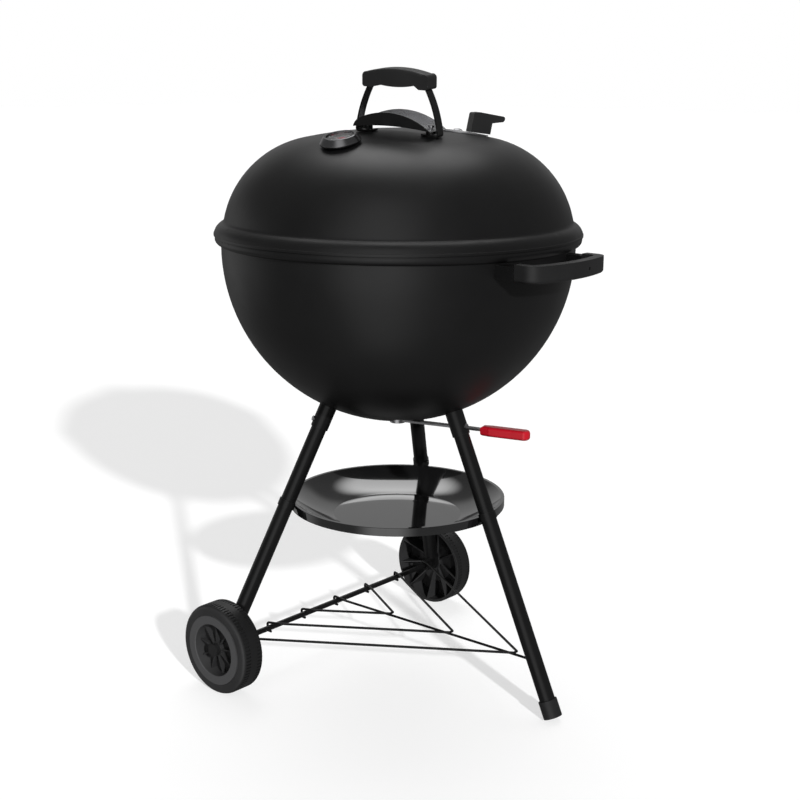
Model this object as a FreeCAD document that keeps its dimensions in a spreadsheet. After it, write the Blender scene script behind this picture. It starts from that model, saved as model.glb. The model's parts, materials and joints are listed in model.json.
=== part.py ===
"""Kettle charcoal grill on a three-legged wheeled stand, as an assembly of separate pieces (millimetres).

The kettle's own axis is the working axis: pieces are drawn about it and every placement adds the
shift that puts the origin under the middle of the whole grill, on the floor, +Z up.  The front leg and
the lifting handle are towards -Y, the wheels and their axle towards +Y.
"""

import FreeCAD, Part
import math
import os
import Sketcher
from FreeCAD import Placement, Rotation, Vector

# alias, value, meaning.  Lengths are millimetres and angles are degrees.
SIZES = [
    ("wheel_radius", 76.2, "wheel radius, which is also the height of the axle"),
    ("wheel_width", 42.0, "tyre width along the axle"),
    ("tread_depth", 1.4, "depth of the tread's grooves"),
    ("tread_gap", 2.6, "width of a tread groove"),
    ("wheel_ring", 59.0, "outside of the raised ring on the wheel's face"),
    ("wheel_opening", 44.0, "opening in the wheel's face"),
    ("wheel_outset", 30.41, "outer face of a wheel beyond the middle of its leg's eye"),
    ("axle_radius", 4.7, "wheel axle"),
    ("leg_radius", 12.7, "leg tube, outside"),
    ("leg_wall", 1.2, "leg tube wall"),
    ("leg_tilt", 24.5, "lean of each leg from upright"),
    ("leg_set", 2.9, "leg centre line outside the bowl's own normal"),
    ("rear_azimuth", 28.6, "rear legs from the axle's direction, seen from above"),
    ("tang_wall", 9.0, "flattened lower end of a rear leg"),
    ("socket_wall", 1.8, "leg socket wall"),
    ("socket_length", 38.0, "leg socket, measured along the leg"),
    ("rim_height", 754.0, "lower edge of the lid's flange"),
    ("rim_radius", 299.0, "outside of the lid's flange"),
    ("sheet_wall", 1.5, "enamelled sheet of the bowl and the lid"),
    ("bowl_inset", 11.6, "bowl's hemisphere inside the lid's flange"),
    ("bowl_centre_drop", 20.4, "centre of the bowl's hemisphere below the rim"),
    ("bead_height", 9.5, "bowl's rolled bead above the rim line"),
    ("bead_drop", 14.5, "bowl's rolled bead below the rim line"),
    ("lid_inset", 13.5, "lid inside its flange, where its shoulder starts"),
    ("lid_knuckle", 164.2, "radius of the lid's shoulder"),
    ("lid_crown", 754.8, "radius of the lid's crown"),
    ("lid_start_drop", 8.8, "centre of the lid's shoulder below the rim"),
    ("flange_rise", 20.5, "height of the lid's flange"),
    ("flange_lip", 3.2, "upright lip along the flange's lower edge"),
    ("flange_fillet", 7.0, "inside bend between the lid's wall and its flange"),
    ("clearance", 0.4, "gap between pieces that only lie on each other"),
    ("running_gap", 0.08, "radial gap of a turning fit"),
    ("damper_offset", 97.0, "lid damper from the kettle axis"),
    ("damper_azimuth", -36.6, "lid damper's direction"),
    ("damper_radius", 50.0, "lid damper disc"),
    ("damper_tab_width", 31.5, "lid damper tab"),
    ("vent_radius", 11.0, "each vent hole in the lid and in its damper"),
    ("vent_circle", 28.0, "circle of the lid's vent holes"),
    ("handle_offset", 75.0, "lid handle from the kettle axis"),
    ("handle_azimuth", -138.5, "lid handle's direction from the axis"),
    ("handle_heading", -78.5, "direction that the lid handle's bar points"),
    ("handle_rise", 100.0, "top of the lid handle above the lid"),
    ("handle_half", 57.5, "half length of the grip"),
    ("handle_width", 29.0, "width of the grip across the bar"),
    ("strap_width", 17.0, "width of the handle's steel straps"),
    ("strap_wall", 3.0, "thickness of the straps"),
    ("shield_width", 50.0, "heat shield across the bar"),
    ("gauge_offset", 165.0, "thermometer from the kettle axis"),
    ("gauge_azimuth", -170.4, "thermometer's direction"),
    ("gauge_radius", 33.0, "thermometer bezel at the lid"),
    ("gauge_face", 23.5, "thermometer bezel at its top"),
    ("gauge_depth", 14.0, "thermometer bezel height"),
    ("probe_length", 52.0, "thermometer probe below the lid"),
    ("cooking_gap", 15.4, "cooking grate inside the bowl"),
    ("cooking_drop", 34.0, "cooking grate below the rim"),
    ("charcoal_radius", 212.0, "charcoal grate"),
    ("rod_radius", 3.0, "main grate rods"),
    ("grate_pitch", 22.0, "spacing of the cooking grate's rods"),
    ("charcoal_pitch", 27.0, "spacing of the charcoal grate's rods"),
    ("blade_width", 44.0, "sweeper blade"),
    ("sweeper_azimuth", -73.5, "direction of the sweeper's lever"),
    ("lever_reach", 238.0, "tip of the lever's grip from the kettle axis"),
    ("lever_grip", 86.0, "length of the lever's grip"),
    ("lever_drop", 6.5, "lever below the bowl"),
    ("bowl_handle_half", 94.0, "half length of the bowl's handle"),
    ("bowl_handle_reach", 57.0, "bowl's handle beyond the lid's flange"),
    ("bowl_handle_bow", 16.0, "lean of the bowl's handle at its corners, from the bow of its bar"),
    ("bowl_handle_root", 6.0, "inner ends of the bowl's handle beyond the lid's flange"),
    ("bowl_handle_drop", 27.0, "middle of the bowl's handle below the rim"),
    ("bowl_handle_height", 26.5, "bowl's handle from top to bottom"),
    ("dish_height", 309.0, "rim of the ash catcher above the floor"),
    ("dish_flat", 110.0, "flat middle of the ash catcher, inside its pressed step"),
    ("dish_side_radius", 150.0, "curve of the ash catcher's side"),
    ("dish_depth", 33.0, "depth of the ash catcher"),
    ("dish_ring_step", 1.6, "pressed step round the middle of the ash catcher"),
    ("dish_flange", 13.5, "turned-down edge of the ash catcher"),
    ("wire_radius", 2.1, "wire of the bottom rack"),
    ("hook_pitch", 82.5, "spacing of the rack's hooks along the axle"),
    ("rack_front_height", 94.0, "front end of the rack's centre rod above the floor"),
    ("foot_height", 26.0, "plastic foot"),
]

doc = FreeCAD.newDocument("KettleGrill")
sheet = doc.addObject("Spreadsheet::Sheet", "Sizes")
PIECES = {}


class Size:
    """A number together with the expression that gives it, so that a sketch can hold both."""

    def __init__(self, value, text=None):
        self.value = float(value)
        self.text = text or f"({self.value!r})"

    def __add__(self, other):
        other = size(other)
        return Size(self.value + other.value, f"({self.text} + {other.text})")

    def __sub__(self, other):
        other = size(other)
        return Size(self.value - other.value, f"({self.text} - {other.text})")

    def __mul__(self, other):
        other = size(other)
        return Size(self.value * other.value, f"({self.text} * {other.text})")

    def __truediv__(self, other):
        other = size(other)
        return Size(self.value / other.value, f"({self.text} / {other.text})")

    def __neg__(self):
        return Size(-self.value, f"(-1 * {self.text})")

    __radd__ = __add__
    __rmul__ = __mul__

    def __rsub__(self, other):
        return size(other) - self


def size(number):
    return number if isinstance(number, Size) else Size(number)


def root(number):
    return Size(math.sqrt(number.value), f"sqrt({number.text})")


def sine(angle):
    return Size(math.sin(math.radians(angle.value)), f"sin({angle.text})")


def cosine(angle):
    return Size(math.cos(math.radians(angle.value)), f"cos({angle.text})")


class Sheet:
    """The driving sizes, each read by its alias."""


S = Sheet()
for row, (alias, number, meaning) in enumerate(SIZES, start=1):
    sheet.set(f"A{row}", alias)
    sheet.set(f"B{row}", repr(number))
    sheet.set(f"C{row}", meaning)
    sheet.setAlias(f"B{row}", alias)
    setattr(S, alias, Size(number, f"Sizes.{alias}"))
doc.recompute()

# Sizes that follow from the driving ones.
LEG_SLOPE = sine(S.leg_tilt) / cosine(S.leg_tilt)
BOWL_CENTRE = S.rim_height - S.bowl_centre_drop
BOWL_RADIUS = S.rim_radius - S.bowl_inset
BOWL_BOTTOM = BOWL_CENTRE - BOWL_RADIUS
LID_START = S.rim_height - S.lid_start_drop
LID_RADIUS = S.rim_radius - S.lid_inset
LID_SHOULDER = LID_RADIUS - S.lid_knuckle
CROWN_SINE = LID_SHOULDER / (S.lid_crown - S.lid_knuckle)
CROWN_COSINE = root(1 - CROWN_SINE * CROWN_SINE)
CROWN_CENTRE = LID_START - (S.lid_crown - S.lid_knuckle) * CROWN_COSINE
LID_TOP = CROWN_CENTRE + S.lid_crown
AXIS_SHIFT = S.bowl_handle_reach / 2
# The legs meet the bowl square to its surface.
MEET_RISE = BOWL_RADIUS * cosine(S.leg_tilt)
MEET_HEIGHT = BOWL_CENTRE - MEET_RISE
LEG_SPREAD = BOWL_RADIUS * sine(S.leg_tilt) + (MEET_HEIGHT - S.wheel_radius) * LEG_SLOPE + S.leg_set
AXLE_REACH = LEG_SPREAD * sine(S.rear_azimuth)
TANG_REACH = LEG_SPREAD * cosine(S.rear_azimuth)
TRACK_HALF = TANG_REACH + S.wheel_outset
WHEEL_INNER = TRACK_HALF - S.wheel_width
COOKING_RADIUS = BOWL_RADIUS - S.cooking_gap
LEG_AZIMUTHS = {"front": Size(-90.0), "left": 180 - S.rear_azimuth, "right": S.rear_azimuth}
LEG_LEAN = LEG_SLOPE * cosine(S.rear_azimuth)
RIB_RECESS = TANG_REACH + S.leg_radius / cosine(S.leg_tilt) + 2.5 - WHEEL_INNER
HUB_RECESS = TANG_REACH + S.tang_wall / 2 + 4.0 - WHEEL_INNER
SCREW_RADIUS = size(2.5)
SPACER_HEIGHT = size(5.4)
SPACER_RADIUS = size(8.0)
LIP_STEP = size(0.7)
FOOT_SOLE = 4.0
TREAD_BLOCKS = 80


def leg_radius_at(height):
    """Distance of a leg's centre line from the kettle axis at a height."""
    return LEG_SPREAD + (S.wheel_radius - height) * LEG_SLOPE


def polar(radius, azimuth):
    angle = math.radians(azimuth)
    return Vector(radius * math.cos(angle), radius * math.sin(angle), 0)


def bind(obj, prop, amount):
    """Set a property and tie it to the sheet."""
    amount = size(amount)
    obj.setExpression(prop, amount.text)


def place(obj, x=0.0, y=0.0, z=0.0, rotation=None):
    """Put a piece at a point given about the kettle axis."""
    x, y, z = size(x), size(y) + AXIS_SHIFT, size(z)
    obj.Placement = Placement(Vector(x.value, y.value, z.value), rotation or Rotation())
    for name, amount in (("x", x), ("y", y), ("z", z)):
        obj.setExpression(f"Placement.Base.{name}", amount.text)
    return obj


def keep(label, obj):
    """Register a finished sub-part under its node name."""
    obj.Label = label
    PIECES[label] = obj
    return obj


def part(kind, name, x=0.0, y=0.0, z=0.0, rotation=None, **sizes):
    """A Part primitive with its sizes tied to the sheet, placed about the kettle axis."""
    obj = doc.addObject(f"Part::{kind}", name)
    for prop, amount in sizes.items():
        bind(obj, prop, amount)
    return place(obj, x, y, z, rotation)


def cut(name, base, tool):
    obj = doc.addObject("Part::Cut", name)
    obj.Base, obj.Tool = base, tool
    return obj


def fuse(name, *shapes):
    obj = doc.addObject("Part::MultiFuse", name)
    obj.Shapes = list(shapes)
    return obj


def group(name, *shapes):
    """Separate solids that share a node, such as a set of screws."""
    obj = doc.addObject("Part::Compound", name)
    obj.Links = list(shapes)
    return obj


class Outline:
    """A closed outline whose corners, and the radii of its arcs, are tied to the sheet."""

    def __init__(self, x, y):
        self.corners = [(size(x), size(y))]
        self.edges = []

    def line(self, x, y):
        self.corners.append((size(x), size(y)))
        self.edges.append(None)
        return self

    def arc(self, x, y, radius, left=True):
        """An arc to the next corner, that turns left or right on its way there."""
        self.corners.append((size(x), size(y)))
        self.edges.append((size(radius), left))
        return self

    def close(self, radius=None, left=True):
        self.edges.append(None if radius is None else (size(radius), left))
        return self


def arc_between(start, end, radius, left):
    """The short arc from start to end as a Sketcher arc, and whether it runs start to end."""
    middle = (start + end) / 2
    half = (end - start).Length / 2
    across = (end - start).normalize()
    side = Vector(-across.y, across.x, 0) if left else Vector(across.y, -across.x, 0)
    centre = middle + side * math.sqrt(max(radius * radius - half * half, 0.0))
    first, last = (start, end) if left else (end, start)
    angle = [math.atan2(p.y - centre.y, p.x - centre.x) for p in (first, last)]
    if angle[1] < angle[0]:
        angle[1] += 2 * math.pi
    return Part.ArcOfCircle(Part.Circle(centre, Vector(0, 0, 1), radius), *angle), left


def cap_radius(reach, rise):
    """Radius of a domed end whose centre is on its own axis."""
    return (size(reach) * reach + size(rise) * rise) / (size(rise) * 2)


def new_body(name):
    return doc.addObject("PartDesign::Body", name)


def new_sketch(body, plane, name, offset=None):
    """A sketch on one of the body's own origin planes, raised by an offset along the plane's normal."""
    sketch = body.newObject("Sketcher::SketchObject", name)
    support = [f for f in body.Origin.OriginFeatures if f.Role == plane][0]
    sketch.AttachmentSupport = [(support, "")]
    sketch.MapMode = "FlatFace"
    if offset is not None:
        bind(sketch, "AttachmentOffset.Base.z", offset)
    return sketch


def fix_point(sketch, edge, end, x, y, name):
    """Tie one sketch point to its coordinates."""
    for kind, axis, amount in (("DistanceX", "across", x), ("DistanceY", "up", y)):
        if amount.value >= 0:
            rule = Sketcher.Constraint(kind, -1, 1, edge, end, amount.value)
            text = amount.text
        else:
            rule = Sketcher.Constraint(kind, edge, end, -1, 1, -amount.value)
            text = (-amount).text
        label = f"{name}_{axis}"
        sketch.renameConstraint(sketch.addConstraint(rule), label)
        sketch.setExpression(f"Constraints.{label}", text)


def draw(sketch, *outlines):
    """Draw outlines with every corner tied to the sheet."""
    for number, outline in enumerate(outlines):
        base = sketch.GeometryCount
        points = [Vector(x.value, y.value, 0) for x, y in outline.corners]
        count = len(points)
        starts, ends = [], []
        for i, edge in enumerate(outline.edges):
            a, b = points[i], points[(i + 1) % count]
            forward = True
            if edge is None:
                sketch.addGeometry(Part.LineSegment(a, b), False)
            else:
                curve, forward = arc_between(a, b, edge[0].value, edge[1])
                sketch.addGeometry(curve, False)
            starts.append(1 if forward else 2)
            ends.append(2 if forward else 1)
        for i in range(count):
            following = (i + 1) % count
            sketch.addConstraint(
                Sketcher.Constraint("Coincident", base + i, ends[i], base + following, starts[following])
            )
            x, y = outline.corners[i]
            fix_point(sketch, base + i, starts[i], x, y, f"corner{number}_{i}")
            if outline.edges[i] is not None:
                radius = outline.edges[i][0]
                rule = Sketcher.Constraint("Radius", base + i, radius.value)
                label = f"bend{number}_{i}"
                sketch.renameConstraint(sketch.addConstraint(rule), label)
                sketch.setExpression(f"Constraints.{label}", radius.text)
    return sketch


def circle(sketch, x, y, radius, name):
    """A circle tied to the sheet."""
    x, y, radius = size(x), size(y), size(radius)
    edge = sketch.addGeometry(
        Part.Circle(Vector(x.value, y.value, 0), Vector(0, 0, 1), radius.value), False
    )
    rule = Sketcher.Constraint("Radius", edge, radius.value)
    sketch.renameConstraint(sketch.addConstraint(rule), f"{name}_radius")
    sketch.setExpression(f"Constraints.{name}_radius", radius.text)
    fix_point(sketch, edge, 3, x, y, name)
    return sketch


def revolve(body, sketch, name="Revolved", axis="V_Axis"):
    feature = body.newObject("PartDesign::Revolution", name)
    feature.Profile = sketch
    feature.ReferenceAxis = (sketch, [axis])
    feature.Angle = 360
    return feature


def pad(body, sketch, length, name="Pad", both_sides=False, reverse=False):
    feature = body.newObject("PartDesign::Pad", name)
    feature.Profile = sketch
    bind(feature, "Length", length)
    if both_sides:
        feature.SideType = "Symmetric"
    feature.Reversed = reverse
    return feature


def pocket(body, sketch, length, name="Pocket", both_sides=False, reverse=False):
    """Cut a sketch into the body; the volume must fall, or the pocket points the wrong way."""
    doc.recompute()
    before = body.Shape.Volume
    feature = body.newObject("PartDesign::Pocket", name)
    feature.Profile = sketch
    bind(feature, "Length", length)
    if both_sides:
        feature.SideType = "Symmetric"
    feature.Reversed = reverse
    doc.recompute()
    if body.Shape.Volume >= before - 1e-6:
        raise RuntimeError(f"{body.Name}.{name} removes nothing")
    return feature


def polar_copies(body, feature, sketch, count, name="Pattern"):
    pattern = body.newObject("PartDesign::PolarPattern", name)
    pattern.Originals = [feature]
    pattern.Axis = (sketch, ["N_Axis"])
    pattern.Angle = 360
    pattern.Occurrences = count
    body.Tip = pattern
    return pattern


def soften(body, feature, radius, chosen, name="Soft"):
    """Round the edges of a feature that a test picks."""
    doc.recompute()
    edges = [f"Edge{i}" for i, e in enumerate(feature.Shape.Edges, start=1) if chosen(e)]
    rounding = body.newObject("PartDesign::Fillet", name)
    rounding.Base = (feature, edges)
    bind(rounding, "Radius", radius)
    return rounding


def spun(label, outline, **where):
    """A revolved piece about its own upright axis."""
    body = new_body(label)
    revolve(body, draw(new_sketch(body, "XZ_Plane", "Section"), outline))
    place(body, **where)
    return keep(label, body)


def seated(label, outline, seat):
    """A revolved piece that stands on the lid."""
    body = new_body(label)
    revolve(body, draw(new_sketch(body, "XZ_Plane", "Section"), outline))
    body.Placement = seat
    return keep(label, body)


# ---------------------------------------------------------------- lid


def lid_height_at(radius):
    """Height of the lid's outside at a distance from the kettle axis, and the lean of its normal."""
    if radius <= LID_SHOULDER.value + S.lid_knuckle.value * CROWN_SINE.value:
        lean = radius / S.lid_crown.value
        return CROWN_CENTRE.value + S.lid_crown.value * math.sqrt(1 - lean * lean), lean
    lean = (radius - LID_SHOULDER.value) / S.lid_knuckle.value
    return LID_START.value + S.lid_knuckle.value * math.sqrt(1 - lean * lean), lean


def lid_seat(offset, azimuth, heading=None, lift=0.0):
    """Placement of a fitting that stands on the lid, its own z along the lid's normal."""
    height, lean = lid_height_at(offset.value)
    out = polar(1.0, azimuth.value)
    normal = Vector(out.x * lean, out.y * lean, math.sqrt(1 - lean * lean))
    ahead = polar(1.0, azimuth.value if heading is None else heading.value)
    along = (ahead - normal * ahead.dot(normal)).normalize()
    turn = Rotation(along, normal.cross(along), normal, "ZXY")
    spot = polar(offset.value, azimuth.value) + Vector(0, AXIS_SHIFT.value, height) + normal * lift
    return Placement(spot, turn)


DAMPER_SEAT = lid_seat(S.damper_offset, S.damper_azimuth)
HANDLE_SEAT = lid_seat(S.handle_offset, S.handle_azimuth, S.handle_heading)
GAUGE_SEAT = lid_seat(S.gauge_offset, S.gauge_azimuth)
STRAP_FOOT = S.handle_half + 8
RIVET_RADIUS = size(3.0)
STEM_RADIUS = size(5.0)
BOLT_RADIUS = size(SCREW_RADIUS)


def lid_profile():
    """Half section of the lid: lip, flange, shoulder and crown, one sheet thick."""
    wall = S.sheet_wall
    step = S.rim_height + S.flange_rise
    rise = step - LID_START
    outer_step = LID_SHOULDER + root(S.lid_knuckle * S.lid_knuckle - rise * rise)
    inner_knuckle = S.lid_knuckle - wall
    inner_step = LID_SHOULDER + root(inner_knuckle * inner_knuckle - (rise - wall) * (rise - wall))
    knuckle_end = LID_SHOULDER + S.lid_knuckle * CROWN_SINE
    knuckle_top = LID_START + S.lid_knuckle * CROWN_COSINE
    inner_end = LID_SHOULDER + inner_knuckle * CROWN_SINE
    inner_top = LID_START + inner_knuckle * CROWN_COSINE
    bulge = S.flange_rise * 1.12
    return (
        Outline(S.rim_radius, S.rim_height)
        .line(S.rim_radius, S.rim_height + S.flange_lip)
        .line(S.rim_radius - LIP_STEP, S.rim_height + S.flange_lip + LIP_STEP)
        .arc(outer_step, step, bulge)
        .arc(knuckle_end, knuckle_top, S.lid_knuckle)
        .arc(0, LID_TOP, S.lid_crown)
        .line(0, LID_TOP - wall)
        .arc(inner_end, inner_top, S.lid_crown - wall, left=False)
        .arc(inner_step, step - wall, inner_knuckle, left=False)
        .arc(S.rim_radius - wall - LIP_STEP, S.rim_height + S.flange_lip + LIP_STEP, bulge, left=False)
        .line(S.rim_radius - wall, S.rim_height + S.flange_lip)
        .line(S.rim_radius - wall, S.rim_height)
        .close()
    )


def through_lid(name, radius, seat, spots):
    """Plugs that cut the fittings' holes square to the lid."""
    depth = 40.0
    plugs = []
    for number, (x, y) in enumerate(spots):
        plug = doc.addObject("Part::Cylinder", f"{name}{number}")
        bind(plug, "Radius", radius)
        plug.Height = depth
        plug.Placement = seat.multiply(Placement(Vector(x, y, -depth / 2), Rotation()))
        plugs.append(plug)
    return plugs


def around(radius, count, start=0.0):
    return [
        (radius * math.cos(math.radians(start + 360.0 * i / count)),
         radius * math.sin(math.radians(start + 360.0 * i / count)))
        for i in range(count)
    ]


def make_lid():
    shell = new_body("LidSheet")
    sheet = revolve(shell, draw(new_sketch(shell, "XZ_Plane", "Section"), lid_profile()))
    bend = (S.rim_height + S.flange_rise).value
    soften(shell, sheet, S.flange_fillet,
           lambda e: e.BoundBox.ZLength < 0.1 and abs(e.CenterOfMass.z - bend) < 0.1, name="FlangeBend")
    place(shell)
    vents = through_lid("LidVent", S.vent_radius, DAMPER_SEAT, around(S.vent_circle.value, 4, 45.0))
    rivet = through_lid("LidRivetHole", RIVET_RADIUS + S.running_gap, DAMPER_SEAT, [(0, 0)])
    stem = through_lid("LidStemHole", STEM_RADIUS + S.running_gap, GAUGE_SEAT, [(0, 0)])
    foot = bolt_spot().value
    bolts = through_lid("LidBoltHole", BOLT_RADIUS + S.running_gap, HANDLE_SEAT, [(-foot, 0), (foot, 0)])
    keep("lid_shell", cut("LidShell", shell, fuse("LidHoles", *vents, *rivet, *stem, *bolts)))


def make_damper():
    """The damper disc follows the lid's crown, so that it can turn about its rivet without lifting."""
    inner = S.lid_crown + S.clearance
    outer = inner + S.sheet_wall
    reach = S.damper_radius
    section = (
        Outline(RIVET_RADIUS + S.running_gap, dome(inner, RIVET_RADIUS + S.running_gap))
        .arc(reach, dome(inner, reach), inner, left=False)
        .line(reach, dome(outer, reach))
        .arc(RIVET_RADIUS + S.running_gap, dome(outer, RIVET_RADIUS + S.running_gap), outer)
        .close()
    )
    disc = new_body("DamperDisc")
    revolve(disc, draw(new_sketch(disc, "XZ_Plane", "Section"), section))
    holes = new_sketch(disc, "XY_Plane", "Vents")
    for number, (x, y) in enumerate(around(1.0, 4, 45.0)):
        circle(holes, S.vent_circle * x, S.vent_circle * y, S.vent_radius, f"vent{number}")
    pocket(disc, holes, 20, both_sides=True)
    disc.Placement = DAMPER_SEAT
    keep("lid_damper_disc", disc)

    head = size(8.0)
    top = dome(outer, size(0)) + S.clearance
    under = -(S.sheet_wall + 2)
    rivet = (
        Outline(0, under - 2)
        .line(head * 0.8, under - 2)
        .line(head * 0.8, under)
        .line(RIVET_RADIUS, under)
        .line(RIVET_RADIUS, top)
        .line(head, top)
        .arc(0, top + 3.2, cap_radius(head, 3.2))
        .close()
    )
    seated("lid_damper_rivet", rivet, DAMPER_SEAT)

    start = S.damper_radius - 32.5
    seat = dome(outer, size(0)) + 0.05
    tab = new_body("DamperTab")
    outline = (
        Outline(start, seat)
        .line(start + 33, seat)
        .line(start + 34, seat + 18)
        .line(start + 51, seat + 22)
        .arc(start + 52, seat + 31, 5.5)
        .line(start + 12, seat + 33)
        .line(start + 2, seat + 31)
        .close()
    )
    block = pad(tab, draw(new_sketch(tab, "XZ_Plane", "Side"), outline), S.damper_tab_width, both_sides=True)
    soften(tab, block, 3, lambda e: abs(e.CenterOfMass.y) < 0.1 and e.CenterOfMass.z > seat.value + 25)
    tab.Placement = DAMPER_SEAT
    keep("lid_damper_tab", tab)


def dome(radius, across):
    """Height above the seat of a sphere about the crown's centre, at a distance from the seat's axis."""
    return root(radius * radius - across * across) - S.lid_crown


def bolt_spot():
    """Where the lid handle's bolts stand along the bar."""
    return STRAP_FOOT - 9


def crown_drop(across):
    """How far the crown falls below the handle's seat at a distance along the bar."""
    return S.lid_crown - root(S.lid_crown * S.lid_crown - across * across)


def make_lid_handle():
    grip_top = S.handle_rise
    grip_low = grip_top - 32
    half = S.handle_half
    grip = new_body("LidGrip")
    outline = (
        Outline(-half, grip_low + 4)
        .line(-half, grip_top - 15)
        .arc(-half + 6, grip_top - 9, 7, left=False)
        .arc(half - 6, grip_top - 9, (half * half) / 17, left=False)
        .arc(half, grip_top - 15, 7, left=False)
        .line(half, grip_low + 4)
        .arc(half - 4, grip_low, 4.5, left=False)
        .line(half - 16, grip_low)
        .line(half - 24, grip_low + 5.5)
        .arc(-half + 24, grip_low + 5.5, (half * half) / 20, left=False)
        .line(-half + 16, grip_low)
        .line(-half + 4, grip_low)
        .close(4.5, left=False)
    )
    bar = pad(grip, draw(new_sketch(grip, "XZ_Plane", "Side"), outline), S.handle_width, both_sides=True)
    side = S.handle_width.value / 2
    soften(grip, bar, 5, lambda e: abs(abs(e.CenterOfMass.y) - side) < 0.01 and e.Length > 20
           and e.CenterOfMass.z > grip_top.value - 12)
    grip.Placement = HANDLE_SEAT
    keep("lid_handle_grip", grip)

    foot = STRAP_FOOT
    wall = S.strap_wall
    base = -crown_drop(foot + wall) + S.clearance
    base_inside = -crown_drop(foot - 22) + S.clearance
    top = half - 8
    for name, turn in (("left", 180.0), ("right", 0.0)):
        strap = new_body(f"Strap_{name}")
        outline = (
            Outline(foot - 22, base_inside)
            .line(foot + 3, base)
            .arc(foot + 8, base + 5, 5)
            .arc(top + wall, grip_low + 0.0, 190)
            .line(top, grip_low)
            .arc(foot + 8 - wall, base + 5, 187, left=False)
            .arc(foot + 3 - wall, base + wall, 3, left=False)
            .line(foot - 22, base_inside + wall)
            .close()
        )
        pad(strap, draw(new_sketch(strap, "XZ_Plane", "Side"), outline), S.strap_width, both_sides=True)
        bore = new_sketch(strap, "XY_Plane", "BoltHole")
        circle(bore, bolt_spot(), 0, BOLT_RADIUS + S.running_gap, "bolt")
        pocket(strap, bore, 30, both_sides=True)
        strap.Placement = HANDLE_SEAT.multiply(Placement(Vector(), Rotation(Vector(0, 0, 1), turn)))
        keep(f"{name}_lid_handle_strap", strap)

    strap_top = wall + S.clearance - crown_drop(bolt_spot() - SPACER_RADIUS)
    shield_base = strap_top + SPACER_HEIGHT + 0.4
    shield = new_body("HeatShield")
    reach = foot + 3
    fold = new_sketch(shield, "XZ_Plane", "Flange")
    lens = (
        Outline(-reach, shield_base)
        .arc(-reach + 14, shield_base + 15, 22, left=False)
        .arc(reach, shield_base, 125, left=False)
        .close(reach * reach / 9)
    )
    pad(shield, draw(fold, lens), S.shield_width, both_sides=True)
    inner = new_sketch(shield, "XZ_Plane", "Inside")
    hollow = (
        Outline(-reach, shield_base + 1.4)
        .line(-reach, shield_base + 40)
        .line(reach, shield_base + 40)
        .line(reach, shield_base + 1.4)
        .close(reach * reach / 9)
    )
    pocket(shield, draw(inner, hollow), S.shield_width - 2.6, both_sides=True)
    holes = new_sketch(shield, "XY_Plane", "BoltHoles")
    circle(holes, bolt_spot(), 0, BOLT_RADIUS + S.running_gap, "ahead")
    circle(holes, -bolt_spot(), 0, BOLT_RADIUS + S.running_gap, "behind")
    pocket(shield, holes, 120, both_sides=True)
    shield.Placement = HANDLE_SEAT
    keep("lid_handle_heat_shield", shield)

    spacers, bolts, nuts = [], [], []
    for number, way in enumerate((-1, 1)):
        spot = bolt_spot().value * way
        sheath = doc.addObject("Part::Cylinder", f"SpacerBody{number}")
        bind(sheath, "Radius", SPACER_RADIUS)
        bind(sheath, "Height", SPACER_HEIGHT)
        hole = doc.addObject("Part::Cylinder", f"SpacerBore{number}")
        bind(hole, "Radius", BOLT_RADIUS + S.running_gap)
        hole.Height = 40
        shank = doc.addObject("Part::Cylinder", f"BoltShank{number}")
        bind(shank, "Radius", BOLT_RADIUS)
        shank.Height = 26
        head = doc.addObject("Part::Cylinder", f"BoltHead{number}")
        head.Radius, head.Height = 5.5, 3.2
        nut = doc.addObject("Part::Prism", f"NutBody{number}")
        nut.Polygon, nut.Circumradius, nut.Height = 6, 6.0, 4.5
        nut_hole = doc.addObject("Part::Cylinder", f"NutBore{number}")
        bind(nut_hole, "Radius", BOLT_RADIUS + 0.02)
        nut_hole.Height = 40
        deck = strap_top.value + SPACER_HEIGHT.value + 4.8
        for obj, lift in ((sheath, strap_top.value + 0.2), (hole, -20), (shank, deck - 26), (head, deck),
                          (nut, -10.5), (nut_hole, -20)):
            obj.Placement = HANDLE_SEAT.multiply(Placement(Vector(spot, 0, lift), Rotation()))
        spacers.append(cut(f"Spacer{number}", sheath, hole))
        bolts.append(fuse(f"Bolt{number}", shank, head))
        nuts.append(cut(f"Nut{number}", nut, nut_hole))
    keep("lid_handle_spacers", group("Spacers", *spacers))
    keep("lid_handle_bolts", group("Bolts", *bolts))
    keep("lid_handle_nuts", group("Nuts", *nuts))


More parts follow.
